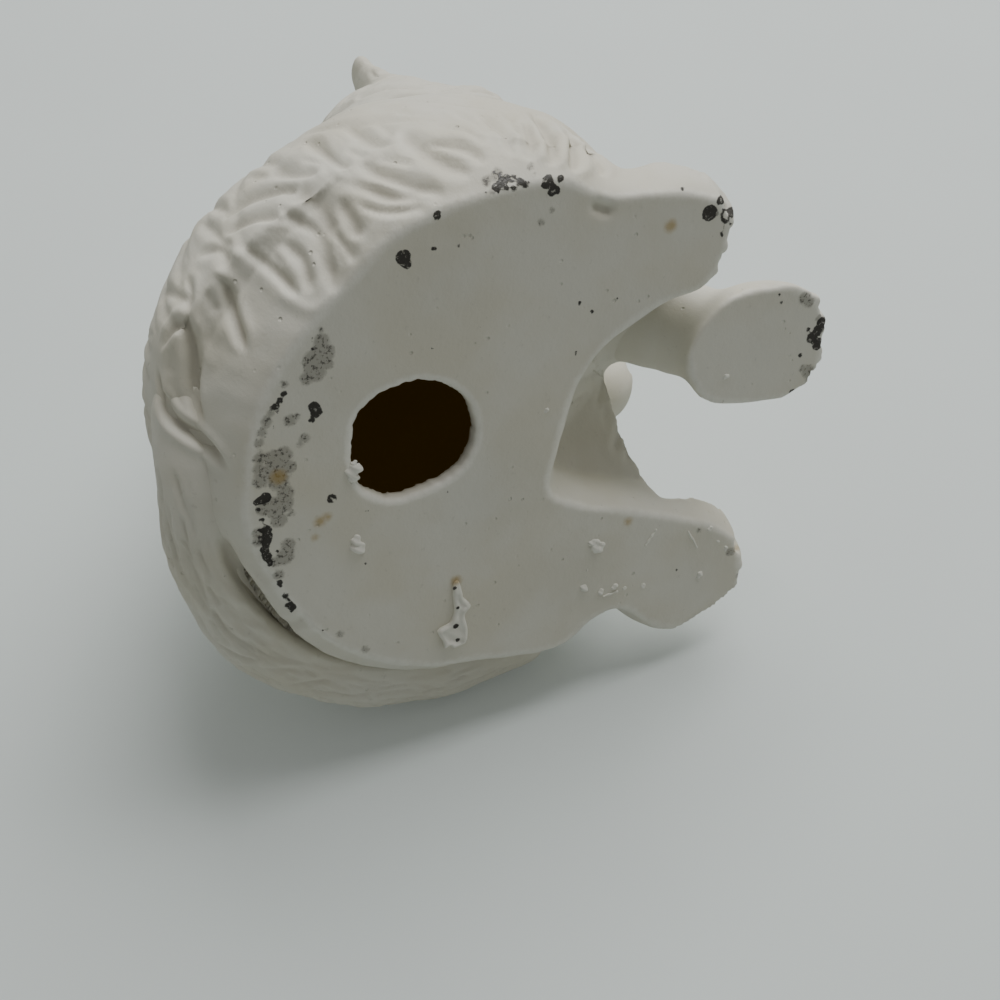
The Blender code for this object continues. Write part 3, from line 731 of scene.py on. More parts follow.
# Marks on the soles: x, y and radius of each
marksOnSole = {
    "soot": [
        (-22.8, 32, 0.4), (-21.2, 31.8, 0.36), (-14.1, 36.2, 0.6), (-13, 36.8, 0.6), (-12, 37.4, 0.67),
        (-11.8, 38.2, 0.4), (-11.1, 37.1, 0.4), (-6.7, 38.8, 0.4), (-8.5, 37.6, 0.36), (-3.2, 38.2, 0.36),
        (-11.2, 31.2, 1), (-10, 30.9, 0.93), (-8.8, 31.5, 0.6), (-10.2, 30.5, 0.83), (4.1, 38.7, 1),
        (4.5, 39.4, 0.83), (4.8, 40.3, 0.6), (6.2, 39.9, 0.5), (8.2, 39.3, 0.53), (10.2, 38.4, 0.93),
        (11.5, 38.3, 1), (12.7, 38.5, 0.83), (14, 38.8, 0.83), (15.3, 38.3, 0.93), (16.7, 37.7, 0.67),
        (14.6, 36.6, 0.36), (10, 39.8, 0.36), (11.6, 39.7, 0.4), (20.7, 36.1, 0.57), (21.4, 35.8, 0.53),
        (23.5, 35, 0.53), (24, 34.4, 0.4), (25.4, 34.2, 0.67), (26.2, 33.4, 0.6), (26.6, 33.7, 0.4),
        (-45.6, 3.2, 0.76), (-46.5, 2.3, 0.76), (-47.1, 1.4, 0.61), (-45.4, 1.7, 0.61), (-45.1, 0.3, 0.53),
        (-46.3, -0.8, 0.61), (-45.7, -1.9, 0.68), (-47, 0.2, 0.45), (-44.9, 2.7, 0.45), (-45.9, 2.6, 0.56),
        (-46.6, 1.6, 0.64), (-46.4, 0.4, 0.36), (-45.3, -2.1, 0.4), (-45.1, -0.8, 0.36),
        (-45.1, 0.6, 0.36), (-45.4, 2.2, 0.4), (-47.4, 2.6, 0.48), (-48, 3.7, 0.4), (-46.3, -5.5, 0.88),
        (-45.4, -6.1, 0.8), (-45.3, -5.1, 0.6), (-44.8, -7.1, 0.56), (-44.1, -6.6, 0.72),
        (-44.4, -7.5, 0.72), (-46.3, -7.8, 0.64), (-44.6, 4.7, 0.36), (-41.1, -38.6, 0.87),
        (-39, -36.9, 1.5), (-36.4, -40.2, 0.4), (-36.7, -41.3, 0.36), (-35.6, -39.9, 0.36),
        (-34.7, -40.2, 0.36), (-34.6, -38.5, 0.36), (-43.5, -30.7, 0.4), (-16.7, -65.2, 1),
        (-15.1, -64.9, 1.2), (-13.8, -63.9, 1.2), (-12.3, -65.6, 1.28), (-16.1, -65.6, 0.88),
        (-15.5, -62.6, 0.48), (-3, -62.1, 0.68), (-1.7, -62.1, 0.36), (-10.4, -62.1, 0.5),
        (-5, -65.7, 0.8), (-22.9, -54.6, 0.34), (-21.4, -55.4, 0.34), (32.9, -43.5, 0.42),
        (-41.5, 12.7, 0.8), (-35.1, 17.8, 1.3), (-33.9, 17.1, 0.8), (-36.2, 12.8, 0.5), (-36.4, 8.8, 0.45),
        (-24.8, -14.3, 0.45), (-23.1, -16.8, 0.4), (-24.9, -21.3, 0.4), (-15.7, -14.8, 0.4),
        (32.5, 2.5, 0.3), (36.5, 2.5, 0.55), (39.7, 1.9, 0.4), (28.1, 3.5, 0.45), (9.4, 21.2, 0.38),
        (19.9, 20.8, 0.34), (7.8, 6.6, 0.34), (-19.3, 11.6, 0.36), (32.3, 28.1, 0.38),
    ],
    "mottle": [
        (-22.3, 30.4, 1.5), (-20.3, 30, 2), (-19.3, 31.6, 2), (-18.5, 29.4, 1.33), (-17.3, 31.3, 2),
        (-16.3, 32.6, 1.33), (-24.2, 30.6, 0.67), (-15.7, 36.2, 0.83), (-9.5, 38.9, 1.17), (-7.6, 39.6, 1),
        (-5.9, 40.1, 1), (-10.9, 38.3, 0.83), (-9.3, 35.1, 1.27), (-9.8, 33.9, 0.73), (-5.8, 32.6, 1.07),
        (-4.8, 33.3, 0.73), (-3.2, 39.8, 1.33), (-1.1, 40, 1.17), (-2.9, 37.6, 1.67), (-3.3, 36, 1.67),
        (-1, 35.1, 1.5), (-0.8, 37.6, 2), (1, 39.7, 1.5), (1.2, 36.7, 2), (3.8, 35.5, 1.67),
        (5.6, 35.8, 2), (6, 37.4, 2), (8.6, 36.5, 1.67), (6.1, 38.8, 1.67), (10.6, 39.8, 1.33),
        (12.2, 39.8, 1.17), (13.7, 34.7, 1.5), (15.9, 35.2, 1.83), (16.6, 36.9, 1.17), (19.3, 36.2, 1.17),
        (7.8, 34.1, 0.67), (-46.6, 4.9, 1.06), (-48, 3.3, 0.91), (-44.7, 3.8, 0.61), (-48.5, -2.4, 0.76),
        (-46.6, 4.7, 0.88), (-47.2, 3.4, 0.88), (-47.2, -3.1, 0.48), (-39.3, -5.3, 0.8), (-41.2, -7, 0.64),
        (-21.8, -60.4, 1.44), (-20.9, -61.5, 1.28), (-6.9, -64.7, 1.52), (-4.8, -65.9, 1.52),
        (-7.7, -63.3, 0.88), (-17.5, -64.7, 1), (30.8, -55.4, 1.18), (36.9, -58.5, 0.73),
        (46.4, -51.6, 1.27), (24.5, -46.9, 0.73), (33.6, 24.8, 0.9), (38, 19.9, 0.9),
    ],
    "rust": [
        (0.6, 36.7, 1.33), (10.1, 29.4, 0.93), (9.4, 28.2, 0.73), (13.1, 30.1, 0.47), (-37.2, -29.6, 1.07),
        (19.9, -30.7, 0.73), (30.2, -56.8, 0.55), (26.6, 3.4, 1),
    ],
    "haze": [
        (-12, 28, 9), (14, 34, 7), (-30, 10, 10), (30, -20, 12), (10, 0, 14), (-20, -25, 9), (-12, -52, 8),
        (35, -48, 9),
    ],
}
sootRings = [(-38.5, -40.3, 1.0), (6.0, 27.5, 0.6)]


def soleRelief(points, outward):
    down = np.clip((-outward[:, 2] - 0.6) / 0.3, 0, 1) * (points[:, 2] < 1.5)
    plan = ventPlan(points[:, 0], points[:, 1])
    lip = body["lipHeight"] * np.exp(-((plan - body["lipWidth"]) / body["lipWidth"]) ** 2)
    dent = np.zeros(len(points))
    for start, end, width, depth in body["dents"]:
        start, end = np.array(start, float), np.array(end, float)
        share = np.clip(((points[:, :2] - start) @ (end - start)) / ((end - start) @ (end - start)), 0, 1)
        gap = np.linalg.norm(points[:, :2] - start - share[:, None] * (end - start), axis=1)
        dent = np.maximum(dent, depth * np.exp(-(gap / width) ** 2))
    rough = 0.03 * unevenness(points, 9, 4) + 0.02 * unevenness(points, 3, 8)
    return down * (lip + rough) - dent * (points[:, 2] < 4)


def marksAt(points):
    marks = {mark: spots(points, rows) for mark, rows in marksOnSole.items()}
    marks["soot"] = np.maximum(marks["soot"], spots(points, sootRings, 0.34))
    x, y, z = points.T
    # painted highlight: a lighter ring round the vent and a lighter band along the rims of the soles
    ring = np.exp(-((ventPlan(x, y) - 0.6) / 0.9) ** 2)
    rim = np.minimum(np.abs(bodySole(x, y)), np.abs(pawSole(x, y)))
    marks["edgeHighlightAndCrumb"] = np.maximum(ring, 0.8 * np.exp(-(rim / 1.5) ** 2)) * np.clip(1 - z / 2, 0, 1)
    return marks


def modelled(name, form, shell, strokes, step, seed, neighbours, inner=None):
    points, faces = skinOf(shell, step)
    points = drawnOnto(shell, points, 1, 0.35 * step)
    outward = outwardOf(shell, points)
    deep = form(points.T)
    side = np.where(points[:, 2] < 1.5, np.clip((outward[:, 2] + 0.97) / 0.2, 0, 1), 1)
    free = np.min([np.abs(other(points.T)) for other in neighbours], axis=0)
    share = np.where(deep > -0.6, side, 0) * np.clip((free - 0.8) / 3.0, 0, 1)
    relief = strokeRelief(points, outward, strokes) * share
    relief += strokeRelief(points, outward, jointCreases) * np.where(deep > -0.6, side, 0)
    wavy = kitten["waviness"] * (unevenness(points, 17, seed) + 0.5 * unevenness(points, 7, seed + 2)) * share
    marks = marksAt(points)
    # depth of each stroke, which sets the painted shade in it
    marks["groove"] = np.clip(-relief, 0, 2)
    # where the hollow's painted shade and painted glow go
    marks["inner"] = np.clip((inner(points) if inner else np.zeros(len(points))), 0, 1)
    points = points + outward * (relief + wavy + soleRelief(points, outward) * (deep > -6))[:, None]
    piece = addObject(name, points, faces, bisque, marks)
    print(name, len(faces), "faces,", len(strokes), "strokes")
    return piece


def cavityShare(points):                       # 0 on the outside, 1 on the skin of the hollow
    deep = -bodyForm(points.T)
    return np.clip((deep - 0.9) / 1.0, 0, 1) * np.clip((points[:, 2] - 1.9) / 0.9, 0, 1)


# Tail: one long casting lying round the left side

tail = {
    "line": (                                  # its course, with the radius at each point
        (-3, 44, 17, 8.6), (7, 44.5, 13.5, 8.4), (22, 43, 13, 8.2), (36.5, 36.5, 13, 8.1),
        (46.5, 25.5, 13, 8.0), (52, 11, 13, 7.8), (53, -4, 12.5, 7.0), (50, -17, 11, 5.4),
    ),
    "locks": (90, 12.0, 0.75, 0.65, 11),       # count, length, width, share of depth and start of the row
    "hairs": (420, 8.0, 0.5, 0.45, 29),
    "tracedShare": 0.75,
    "sink": 2.2,
}
tailStations = smoothLine(tail["line"])


def tailForm(place):
    mass = roll(place, tailStations[0], tailStations[1])
    for start, end in zip(tailStations[1:], tailStations[2:]):
        mass = np.minimum(mass, roll(place, start, end))
    return mass


def tailShell(place):
    return np.maximum(tailForm(place), -(bodyForm(place) + tail["sink"]))


def tailFlow(points):
    line = tailStations[:, :3]
    gap = ((points[:, None, :] - line[None]) ** 2).sum(axis=2)
    at = np.clip(gap.argmin(axis=1), 1, len(line) - 2)
    way = line[at + 1] - line[at - 1]
    return way / np.linalg.norm(way, axis=1, keepdims=True)


tracedTailStrokes = [
    ([(1.5, 42, 6.5), (7.5, 42, 5.5), (14, 41.5, 5)], 0.9, 0.6),
    ([(-3, 44.5, 8), (1.5, 43, 6.5), (4.5, 43, 5.5)], 0.9, 0.5),
    ([(9, 45.5, 5), (15.5, 44, 5), (22, 42.5, 5)], 0.9, 0.6),
    ([(3, 48, 6.5), (10.5, 47.5, 5.5)], 0.9, 0.35),
    ([(14.5, 50.5, 8), (21, 48.5, 6.5), (29, 46, 6.5)], 0.9, 0.7),
    ([(17, 51.5, 9.5), (24, 49, 8), (27.5, 47.5, 7.5)], 0.8, 0.5),
    ([(24, 46, 5.5), (27.5, 42.5, 5), (32.5, 38.5, 5)], 0.9, 0.7),
    ([(27, 46.5, 6.5), (33.5, 43, 6), (37, 39, 5.5), (40, 37.5, 5.5)], 0.9, 0.9),
    ([(36.5, 44.5, 9), (39.5, 41, 7), (40.5, 37.5, 5.5)], 0.9, 0.8),
    ([(30, 42, 5), (35, 38, 5), (37, 35.5, 5)], 0.9, 0.6),
    ([(31, 47.5, 9.5), (36.5, 44.5, 8.5)], 0.8, 0.5),
    ([(42.5, 37.5, 6.5), (43.5, 31.5, 5), (45, 29, 5)], 0.9, 0.6),
    ([(50.5, 32, 9), (50.5, 29.5, 7.5), (50, 27, 6)], 0.8, 0.5),
    ([(48, 32, 6.5), (47.5, 27, 5), (47.5, 23.5, 5)], 0.9, 0.7),
    ([(45, 26, 5), (47.5, 18, 5.5), (48.5, 13.5, 5.5)], 0.9, 0.4),
    ([(50.5, 24, 5.5), (51.5, 16, 5), (51.5, 11, 5)], 0.8, 0.4),
]


def tailFur():
    rows = []
    for layer in ("locks", "hairs"):
        count, length, width, depth, seed = tail[layer]
        share, turn, _ = spread(count, seed)
        at = (0.08 + 0.86 * share) * (len(tailStations) - 1)
        low = np.floor(at).astype(int)
        middle = tailStations[low] + (at - low)[:, None] * (tailStations[low + 1] - tailStations[low])
        angle = 2 * math.pi * turn
        away = np.array((middle[:, 0], middle[:, 1])).T - np.array((0, 10))
        away /= np.linalg.norm(away, axis=1, keepdims=True)
        starts = middle[:, :3].copy()
        starts[:, :2] += away * (np.cos(angle) * middle[:, 3])[:, None]
        starts[:, 2] += np.sin(angle) * middle[:, 3]
        seen = bodyForm(starts.T) > 1
        if layer == "locks":
            seen &= starts[:, 2] > 9
        rows += combed(tailForm, starts[seen], tailFlow, length, width, depth, int(seed) + 2)
    return rows


# Forelegs: the right one stands on its paw, the left one is held up

forelegs = {
    "paw": (                                   # outline of the right paw's sole
        (-12, -38), (-20, -38.5), (-23.5, -46), (-24, -58), (-19, -65), (-9, -67), (-3, -64.5), (-1.5, -55),
        (-4, -43),
    ),
    "right": ((-17, -13, 56, 14.0), (-14.5, -27, 34, 12.0), (-12.5, -43, 13, 8.8)),
    "left": ((9, -12, 62, 13.0), (17, -20, 48, 10.0), (16, -38, 49, 7.6)),
    "rightPaw": ((-12.5, -53, 0), (12.4, 15.2, 11.5), 0),
    "leftPaw": ((14, -45, 43.5), (8.4, 8.6, 9.0), 0),
    "pawSwell": (1.3, 3.0, 0, 0),
    "legSwell": (1.3, 3.0, 5.0, 1.3),
    "blend": 5,
    "sink": 2.2,
}


pawSole = solePlan(forelegs["paw"])


def rightForelegForm(place):
    x, y, z = place
    standing = (x, y, np.maximum(z, 0))
    sole = pawSole(x, y)
    paw = np.maximum(lump(standing, *forelegs["rightPaw"]), sole - swell(z, *forelegs["pawSwell"]))
    leg = limb(standing, forelegs["right"], forelegs["blend"])
    leg = np.maximum(leg, sole - swell(z, *forelegs["legSwell"]))
    return blend(paw, leg, forelegs["blend"])


def rightForelegShell(place):
    standing = trim(rightForelegForm(place), -place[2], kitten["groundRounding"])
    return np.maximum(standing, -(bodyForm(place) + forelegs["sink"]))


def leftForelegForm(place):
    leg = limb(place, forelegs["left"], forelegs["blend"])
    return blend(leg, lump(place, *forelegs["leftPaw"]), forelegs["blend"])


def leftForelegShell(place):
    return np.maximum(leftForelegForm(place), -(bodyForm(place) + forelegs["sink"]))


rightForelegStrokes = [
    ([(-18, -57, 9), (-18.6, -61.5, 7), (-19.4, -65.4, 2), (-19.6, -65.8, -5)], 1.2, 1.4),
    ([(-12.6, -58, 10), (-12.8, -63, 8), (-13, -67.6, 2), (-13, -68, -5)], 1.1, 1.2),
    ([(-7.3, -57, 9), (-7, -62, 7), (-6.2, -66.8, 2), (-6, -67.2, -5)], 1.2, 1.4),
    ([(-24, -33, 28), (-23, -38, 20), (-22.5, -43, 11)], 1.1, 0.6),
    ([(-19, -38, 30), (-17, -44, 22), (-16, -48, 13)], 1.1, 0.6),
    ([(-11, -40, 32), (-9, -45, 22), (-9, -49, 14)], 1.1, 0.6),
    ([(-5, -35, 30), (-4, -40, 20), (-4, -44, 11)], 1.0, 0.6),
]
leftForelegStrokes = [
    ([(10.5, -49, 50), (10, -53, 46), (10, -52.5, 40)], 1.0, 1.2),
    ([(14, -50, 51), (14, -54.5, 46), (14, -53.5, 39)], 1.0, 1.2),
    ([(17.8, -49, 50), (18.5, -53, 46), (18, -52.5, 40)], 1.0, 1.2),
    ([(20, -30, 55), (22, -35, 52), (22, -40, 48)], 1.0, 0.6),
    ([(14, -30, 58), (15, -36, 56), (14, -41, 53)], 1.0, 0.6),
]


def ontoForm(form, strokes):
    return [(drawnOnto(form, np.array(line, float), 3, 4.0), width, depth) for line, width, depth in strokes]


# Head with ears, a hollow casting. Its masses are measured from the middle of the skull.

head = {
    "centre": (-5, -27, 106),
    "skull": ((0, 0, 0), (27.5, 24.5, 22.5), 0),
    "cheek": ((14, -11, -8), (14, 12, 10.5), 0),
    "muzzle": ((5.0, -23, -9.5), (7.0, 7.2, 6.0), 0),
    "chin": ((0, -21, -15.5), (5.4, 5.5, 4.4), 0),
    "nose": ((0, -18, 4, 5.6), (0, -26.3, -4.5, 3.2)),
    "eye": ((10.4, -19.5, 1.5), (5.4, 5.4, 5.4), 0),
    "ear": ((14.5, -1, 12, 13.0), (22.0, 2, 23.5, 4.8)),
    "earFacing": 12.0,                         # degrees turned outwards
    "earHollow": (6.5, 0.72),                  # how far in front its hollow lies, and its share of the ear
    "overNeck": 5.0,
    "furCount": 240,
    "sink": 2.2,
}


def earForm(both):
    root, tip = head["ear"]
    facing = math.radians(head["earFacing"])
    forward = (math.sin(facing), -math.cos(facing))
    depth = (both[0] - root[0]) * forward[0] + (both[1] - root[1]) * forward[1]
    slant = (tip[0] - root[0]) * forward[0] + (tip[1] - root[1]) * forward[1]
    rise = np.clip((both[2] - root[2]) / (tip[2] - root[2]), -1, 1)
    spreadOut = depth - slant * rise
    wide = (both[0] + spreadOut * forward[0], both[1] + spreadOut * forward[1], both[2])
    away, share = head["earHollow"]
    ahead = (wide[0] - away * forward[0], wide[1] - away * forward[1], wide[2])
    scoop = [(*station[:3], share * station[3]) for station in head["ear"]]
    return np.maximum(roll(wide, root, tip), -roll(ahead, *scoop)) / 2    # halved, as depth counts double


def headForm(place):
    local = awayFrom(place, head["centre"])
    both = (np.abs(local[0]), local[1], local[2])
    mass = blend(lump(local, *head["skull"]), lump(both, *head["cheek"]), 5.5)
    mass = blend(mass, roll(local, *head["nose"]), 5.5)
    mass = blend(mass, lump(both, *head["muzzle"]), 2)
    mass = blend(mass, lump(local, *head["chin"]), 2)
    mass = blend(mass, earForm(both), 3)
    return blend(mass, lump(both, *head["eye"]), 0.8)


def headShell(place):
    local = awayFrom(place, head["centre"])
    hollow = np.maximum(lump(local, *head["skull"]) + kitten["headWall"], head["overNeck"] - bodyForm(place))
    opened = np.minimum(hollow, passage(place))
    return np.maximum(np.maximum(headForm(place), -opened), -(bodyForm(place) + head["sink"]))


def faceStrokes():
    rows = []
    for sign in (-1, 1):
        ring = []
        for k in range(13):
            angle = 2 * math.pi * k / 12
            ring.append((sign * (10.4 + 5.9 * math.cos(angle)), -24, 1.5 + 4.3 * math.sin(angle)))
        rows.append((ring, 0.55, 0.7))
        brow = [(sign * 5.2, -24, 3.5), (sign * 10, -24, 7.6), (sign * 15.6, -22, 6.2), (sign * 18, -20, 3)]
        mouth = [(0, -29, -8.5), (sign * 2.6, -29, -11.2), (sign * 6, -28, -11.6), (sign * 9.4, -26, -10)]
        rows += [(brow, 0.7, 0.7), (mouth, 0.6, 1.0)]
        rows.append(([(sign * 1.7, -29.5, -4.6), (sign * 2.6, -29, -5.6)], 0.5, 1.2))
        for k, side in enumerate((5.0, 7.4, 5.8)):
            whisker = [(sign * side, -29, -8 - 1.4 * k), (sign * (side + 0.9), -29, -8.1 - 1.4 * k)]
            rows.append((whisker, 0.35, 0.8))
        rows.append(([(sign * 14, -10, 16), (sign * 18, -6, 22), (sign * 21, -4, 29)], 0.7, 0.7))
        rows.append(([(sign * 17, -9, 14), (sign * 21, -5, 20), (sign * 23, -3, 26)], 0.7, 0.7))
    rows.append(([(0, -30, -6.5), (0, -30, -8.6)], 0.5, 1.1))
    middle = np.array(head["centre"])
    return [([np.array(p) + middle for p in line], width, depth) for line, width, depth in rows]


def headFlow(points):
    local = points - np.array(head["centre"])
    return local - np.array((0, -32, -6))


def headFur():
    starts = startsRound(headForm, head["centre"], head["furCount"], 21.0)
    local = starts - np.array(head["centre"])
    face = (local[:, 1] < -17) & (np.abs(local[:, 0]) < 19) & (local[:, 2] < 9)
    ear = (np.abs(local[:, 0]) > 8) & (local[:, 2] > 19) & (local[:, 1] < 8)
    inNeck = bodyForm(starts.T) < 2
    starts = starts[~(face | ear | inNeck)]
    return combed(headForm, starts, headFlow, 9.0, 0.8, 0.6, 7)


# Now the castings: their strokes fade where they meet one another

def softened(strokes, widthShare, depthShare):
    return [(line, widthShare * width, depthShare * depth) for line, width, depth in strokes]


tracedBody = softened(tracedBodyStrokes + tracedBodyRidges, 0.9, body["tracedShare"])
bodyStrokes = tracedBody + toeStrokes + bodyFur()
joined = (tailForm, headForm, rightForelegForm, leftForelegForm)
grain = kitten["grain"]
bodyCasting = modelled("bodyCasting", bodyForm, bodyShell, bodyStrokes, grain, 1.0, joined, cavityShare)
tailStrokes = softened(tracedTailStrokes, 0.8, tail["tracedShare"]) + tailFur()
tailCasting = modelled("tailCasting", tailForm, tailShell, tailStrokes, 0.7 * grain, 2.0, [bodyForm])
rightStrokes = ontoForm(rightForelegForm, rightForelegStrokes)
rightForelegCasting = modelled(
    "rightForelegCasting", rightForelegForm, rightForelegShell, rightStrokes, 0.75 * grain, 3.0, [bodyForm],
)
leftStrokes = ontoForm(leftForelegForm, leftForelegStrokes)
leftForelegCasting = modelled(
    "leftForelegCasting", leftForelegForm, leftForelegShell, leftStrokes, 0.75 * grain, 4.0, [bodyForm],
)
headStrokes = ontoForm(headForm, faceStrokes()) + headFur()
headCasting = modelled("headCasting", headForm, headShell, headStrokes, 0.8 * grain, 5.0, [bodyForm])


# Slip: soft beads brushed into the joints between the castings

slipBeads = {                                  # width, how far below the surface its edge ends, and depth
    "neck": (5.0, 0.1, 0.7),
    "foreleg": (5.0, 0.25, 0.9),
    "tail": (2.4, 1.2, 2.6),
}


def beadRound(joined, size, middle, radius):
    width, below, depth = size

    def bead(place):
        a, b = bodyForm(place), joined(place)
        fillet = blend(a, b, width) + below
        shallow = -np.minimum(a, b) - depth
        apart = (np.abs(a - b) - 0.8 * width) / 2
        outside = np.sqrt(sum(c ** 2 for c in awayFrom(place, middle))) - radius
        return np.maximum(np.maximum(fillet, shallow), np.maximum(apart, outside))
    return bead


def slipPiece(name, joined, size, reach, seed):
    bead = beadRound(joined, size, *reach)
    points, faces = skinOf(bead, 0.6 * kitten["grain"])
    points = points + outwardOf(bead, points) * (0.05 * unevenness(points, 3, seed))[:, None]
    print(name, len(faces), "faces")
    return addObject(name, points, faces, slipFinish, marksAt(points))


neckSlip = slipPiece("neckSlip", headForm, slipBeads["neck"], ((-5, -14, 87), 46), 1)
rightForelegSlip = slipPiece(
    "rightForelegSlip", rightForelegForm, slipBeads["foreleg"], ((-14.5, -26, 42), 34), 2,
)
leftForelegSlip = slipPiece("leftForelegSlip", leftForelegForm, slipBeads["foreleg"], ((15, -24, 50), 30), 3)
tailSlip = slipPiece("tailSlip", tailForm, slipBeads["tail"], ((-7, 44, 20), 15), 4)


# Crumbs of slip and one flake that fired onto the soles

crumbs = {
    "rounds": (                                # x, y and radius
        (24.1, -24.4, 0.91), (24.7, -25.2, 0.91), (23.3, -23.8, 0.64), (33.2, -23.3, 0.68),
        (34.8, -27.1, 0.55), (34.1, -30, 0.55), (34.9, -32.3, 0.36), (35.1, -36.4, 0.45),
        (34.9, -49.1, 0.59), (24.6, -49.4, 0.45),
        (27.8, -51.9, 0.32), (29.8, -54.1, 0.45), (29.2, -23.4, 0.23), (-7.9, -46.5, 0.48), (16.4, 22.4, 1.0),
        (15, 22.8, 0.8), (-5.5, -10.6, 0.4), (1.2, 23.9, 1), (2.5, 24, 0.8), (0.9, 23.2, 0.6),
        (0.1, 24, 0.48),
    ),
    "rods": (                                  # both ends and radius
        ((25.8, -35.4), (22.7, -37.1), 0.23), ((28.3, -47.2), (24.3, -44.5), 0.23),
        ((35.8, -27.8), (35.3, -30.7), 0.23),
    ),
    "flake": (
        (27.4, 4), (26.4, 3.4), (27.2, 2.7), (29.3, 2.1), (30.2, 1.8), (32.2, 0.1), (33.3, 1), (34.9, 1),
        (37.8, 0.2), (40, 0.4), (40.6, 0.8), (40.9, 2.8), (40.2, 3.6), (40.7, 4.6), (39.3, 4.9), (36.7, 6.2),
        (35.4, 4), (33.9, 3.4), (32.3, 3.3), (29.8, 3.8),
    ),
    "plumper": 1.55,
    "flakeHeight": 0.9,
    "flakeReach": ((33.6, 3.1), 8.0),
    "step": 0.16,
}
flakePlan = solePlan(crumbs["flake"], 50.0, 0.25)


def crumbForms():
    for k, (x, y, radius) in enumerate(crumbs["rounds"]):
        radius = radius * crumbs["plumper"]
        def lumpy(place, centre=(x, y, 0.1 * radius), radius=radius, turn=47.0 * k):
            mass = lump(place, centre, (radius, 0.74 * radius, 0.55 * radius), turn)
            return mass + 0.1 * radius * np.sin((place[0] + place[1] * 0.6) * 5 / radius + k)
        yield lumpy, (x, y), radius
    for (ax, ay), (bx, by), radius in crumbs["rods"]:
        def rod(place, start=(ax, ay, -0.05, radius), end=(bx, by, -0.05, radius)):
            return roll(place, start, end) + 0.05 * np.sin(4 * place[0] + 3 * place[1])
        yield rod, ((ax + bx) / 2, (ay + by) / 2), math.hypot(ax - bx, ay - by) / 2 + radius


def flakeForm(place):
    x, y, z = place
    plan = flakePlan(x, y)
    curled = 0.35 * np.exp(-((plan + 0.5) / 0.4) ** 2)
    height = crumbs["flakeHeight"] * (0.55 + curled + 0.12 * np.sin(2.1 * x + 1.3 * y))
    return trim(plan, np.maximum(-z - height, z - 0.3), 0.25)


def crumbPiece():
    allPoints, allFaces, done = [], [], 0
    rows = [*crumbForms(), (flakeForm, *crumbs["flakeReach"])]
    for form, (x, y), radius in rows:
        reach = radius + 0.5
        box = (np.array((x - reach, y - reach, -0.9)), np.array((x + reach, y + reach, 0.7)))
        points, faces = skinOf(form, crumbs["step"], box)
        allPoints.append(points)
        allFaces.append(faces + done)
        done += len(points)
    points, faces = np.concatenate(allPoints), np.concatenate(allFaces)
    marks = marksAt(points)
    # the crumbs take the paler colour all over
    marks["edgeHighlightAndCrumb"] = np.ones(len(points))
    print("crumbs", len(faces), "faces")
    return addObject("crumbs", points, faces, slipFinish, marks)


crumbsOnSole = crumbPiece()

pieces = {
    bodyCasting: ("body_shell", "bisque"),
    headCasting: ("head_shell", "bisque"),
    rightForelegCasting: ("right_foreleg", "bisque"),
    leftForelegCasting: ("left_foreleg", "bisque"),
    tailCasting: ("tail", "bisque"),
    neckSlip: ("neck_slip_joint", "slip"),
    rightForelegSlip: ("right_foreleg_slip_joint", "slip"),
    leftForelegSlip: ("left_foreleg_slip_joint", "slip"),
    tailSlip: ("tail_slip_joint", "slip"),
}
for piece, (node, slotName) in pieces.items():
    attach(piece, "root")
    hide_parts(node)
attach(crumbsOnSole, "root")
print("pieces in place")


# Studio: a pale sheet that the kitten leans on, a pale floor, and one large soft light

studio = {
    "tableNormal": (-0.939, 0.20, -0.281),     # it touches the tail and the left ear
    "tableOffset": -61.6,
    "tableTone": (0.62, 0.67, 0.655),
    "tableHalf": 0.9,                          # metres
    "tableGlow": 0.08,                         # light that the sheet gives back by itself
    "ambient": 0.235,
    "ambientTone": (0.97, 0.975, 0.935),
    "ambientFall": 0.75,                        # how much darker it is on the side away from the light
    "brighterTowards": (-0.86, -0.13, 0.48),
    "lightFrom": (-0.94, -0.17, 0.05),
    "lightPower": 9.0,
    "lightSize": 0.7,
    "lightAway": 0.9,                          # metres from the kitten
}
photoCamera = {
    "position": (-0.1176, 0.1038, -0.1996),    # metres
    "right": (-0.097, -0.901, -0.422),
    "up": (-0.864, -0.134, 0.485),
    "back": (-0.494, 0.412, -0.766),
    "lens": 54,
    "sensor": 36,
}


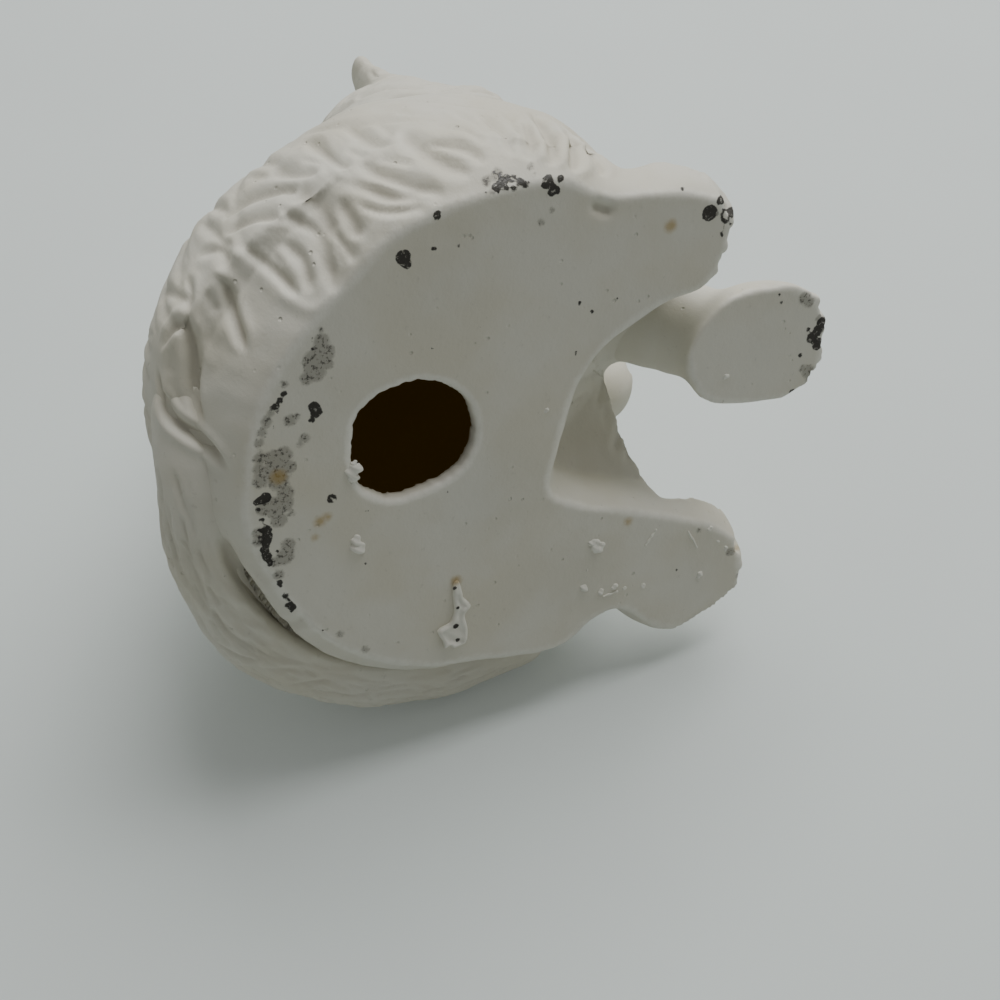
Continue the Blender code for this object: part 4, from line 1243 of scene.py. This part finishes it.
def sheetOf(name, normal, point):
    finish = Finish(name + "Paint")
    tint = finish.noise(finish.place(), 60.0, 2.0).between(0.3, 0.7)
    colour = finish.mixed(tint * 0.15, studio["tableTone"], tuple(0.9 * c for c in studio["tableTone"]))
    finish.set(Base_Color=colour, Roughness=0.9, Emission_Color=colour, Emission_Strength=studio["tableGlow"])
    behind = finish.node("ShaderNodeNewGeometry", {}, {}, "Backfacing")
    paint = Wire(finish, finish.shader.outputs[0])
    clear = finish.node("ShaderNodeBsdfTransparent", {}, {})
    seen = finish.node("ShaderNodeMixShader", {}, {0: behind, 1: paint, 2: clear})
    finish.plug(finish.tree.nodes["Material Output"].inputs["Surface"], seen)
    half = studio["tableHalf"]
    mesh = bpy.data.meshes.new(name)
    corners = [(-half, -half, 0), (half, -half, 0), (half, half, 0), (-half, half, 0)]
    mesh.from_pydata(corners, [], [(0, 1, 2, 3)])
    mesh.materials.append(finish.material)
    sheet = bpy.data.objects.new(name, mesh)
    bpy.context.scene.collection.objects.link(sheet)
    turn = Vector(normal).to_track_quat("Z", "Y").to_matrix().to_4x4()
    sheet.matrix_world = Matrix.Translation(point) @ turn
    sheet.visible_diffuse = name == "table"
    sheet.visible_glossy = False
    sheet.visible_shadow = False
    return sheet


tableNormal = Vector(studio["tableNormal"])
sheetOf("table", tableNormal, tableNormal.normalized() * studio["tableOffset"] * 0.001 / tableNormal.length)
sheetOf("floor", (0, 0, 1), (0, 0, -0.0004))

world = bpy.data.worlds.new("studioAir")
bpy.context.scene.world = world
world.use_nodes = True
air = Wiring(world.node_tree)
background = air.tree.nodes["Background"]
compass = air.node("ShaderNodeTexCoord", {}, {}, "Generated")
brighter = Vector(studio["brighterTowards"]).normalized()
facing = air.node("ShaderNodeVectorMath", {"operation": "DOT_PRODUCT"}, {0: compass, 1: brighter}, "Value")
air.plug(background.inputs["Color"], studio["ambientTone"])
strength = facing * (studio["ambient"] * studio["ambientFall"]) + studio["ambient"]
air.plug(background.inputs["Strength"], strength)

lamp = bpy.data.lights.new("softbox", "AREA")
lamp.energy = studio["lightPower"]
lamp.size = studio["lightSize"]
softbox = bpy.data.objects.new("softbox", lamp)
bpy.context.scene.collection.objects.link(softbox)
lightWay = Vector(studio["lightFrom"]).normalized()
lightPlace = Matrix.Translation(lightWay * studio["lightAway"] + Vector((0, 0, 0.05)))
softbox.matrix_world = lightPlace @ lightWay.to_track_quat("Z", "Y").to_matrix().to_4x4()

camera = bpy.data.cameras.new("photoCamera")
camera.sensor_width = photoCamera["sensor"]
camera.lens = photoCamera["lens"]
camera.clip_start = 0.005
viewpoint = bpy.data.objects.new("photoCamera", camera)
bpy.context.scene.collection.objects.link(viewpoint)
stance = Matrix([photoCamera[side] for side in ("right", "up", "back")]).transposed().to_4x4()
viewpoint.matrix_world = Matrix.Translation(photoCamera["position"]) @ stance
bpy.context.scene.camera = viewpoint
print("studio ready")
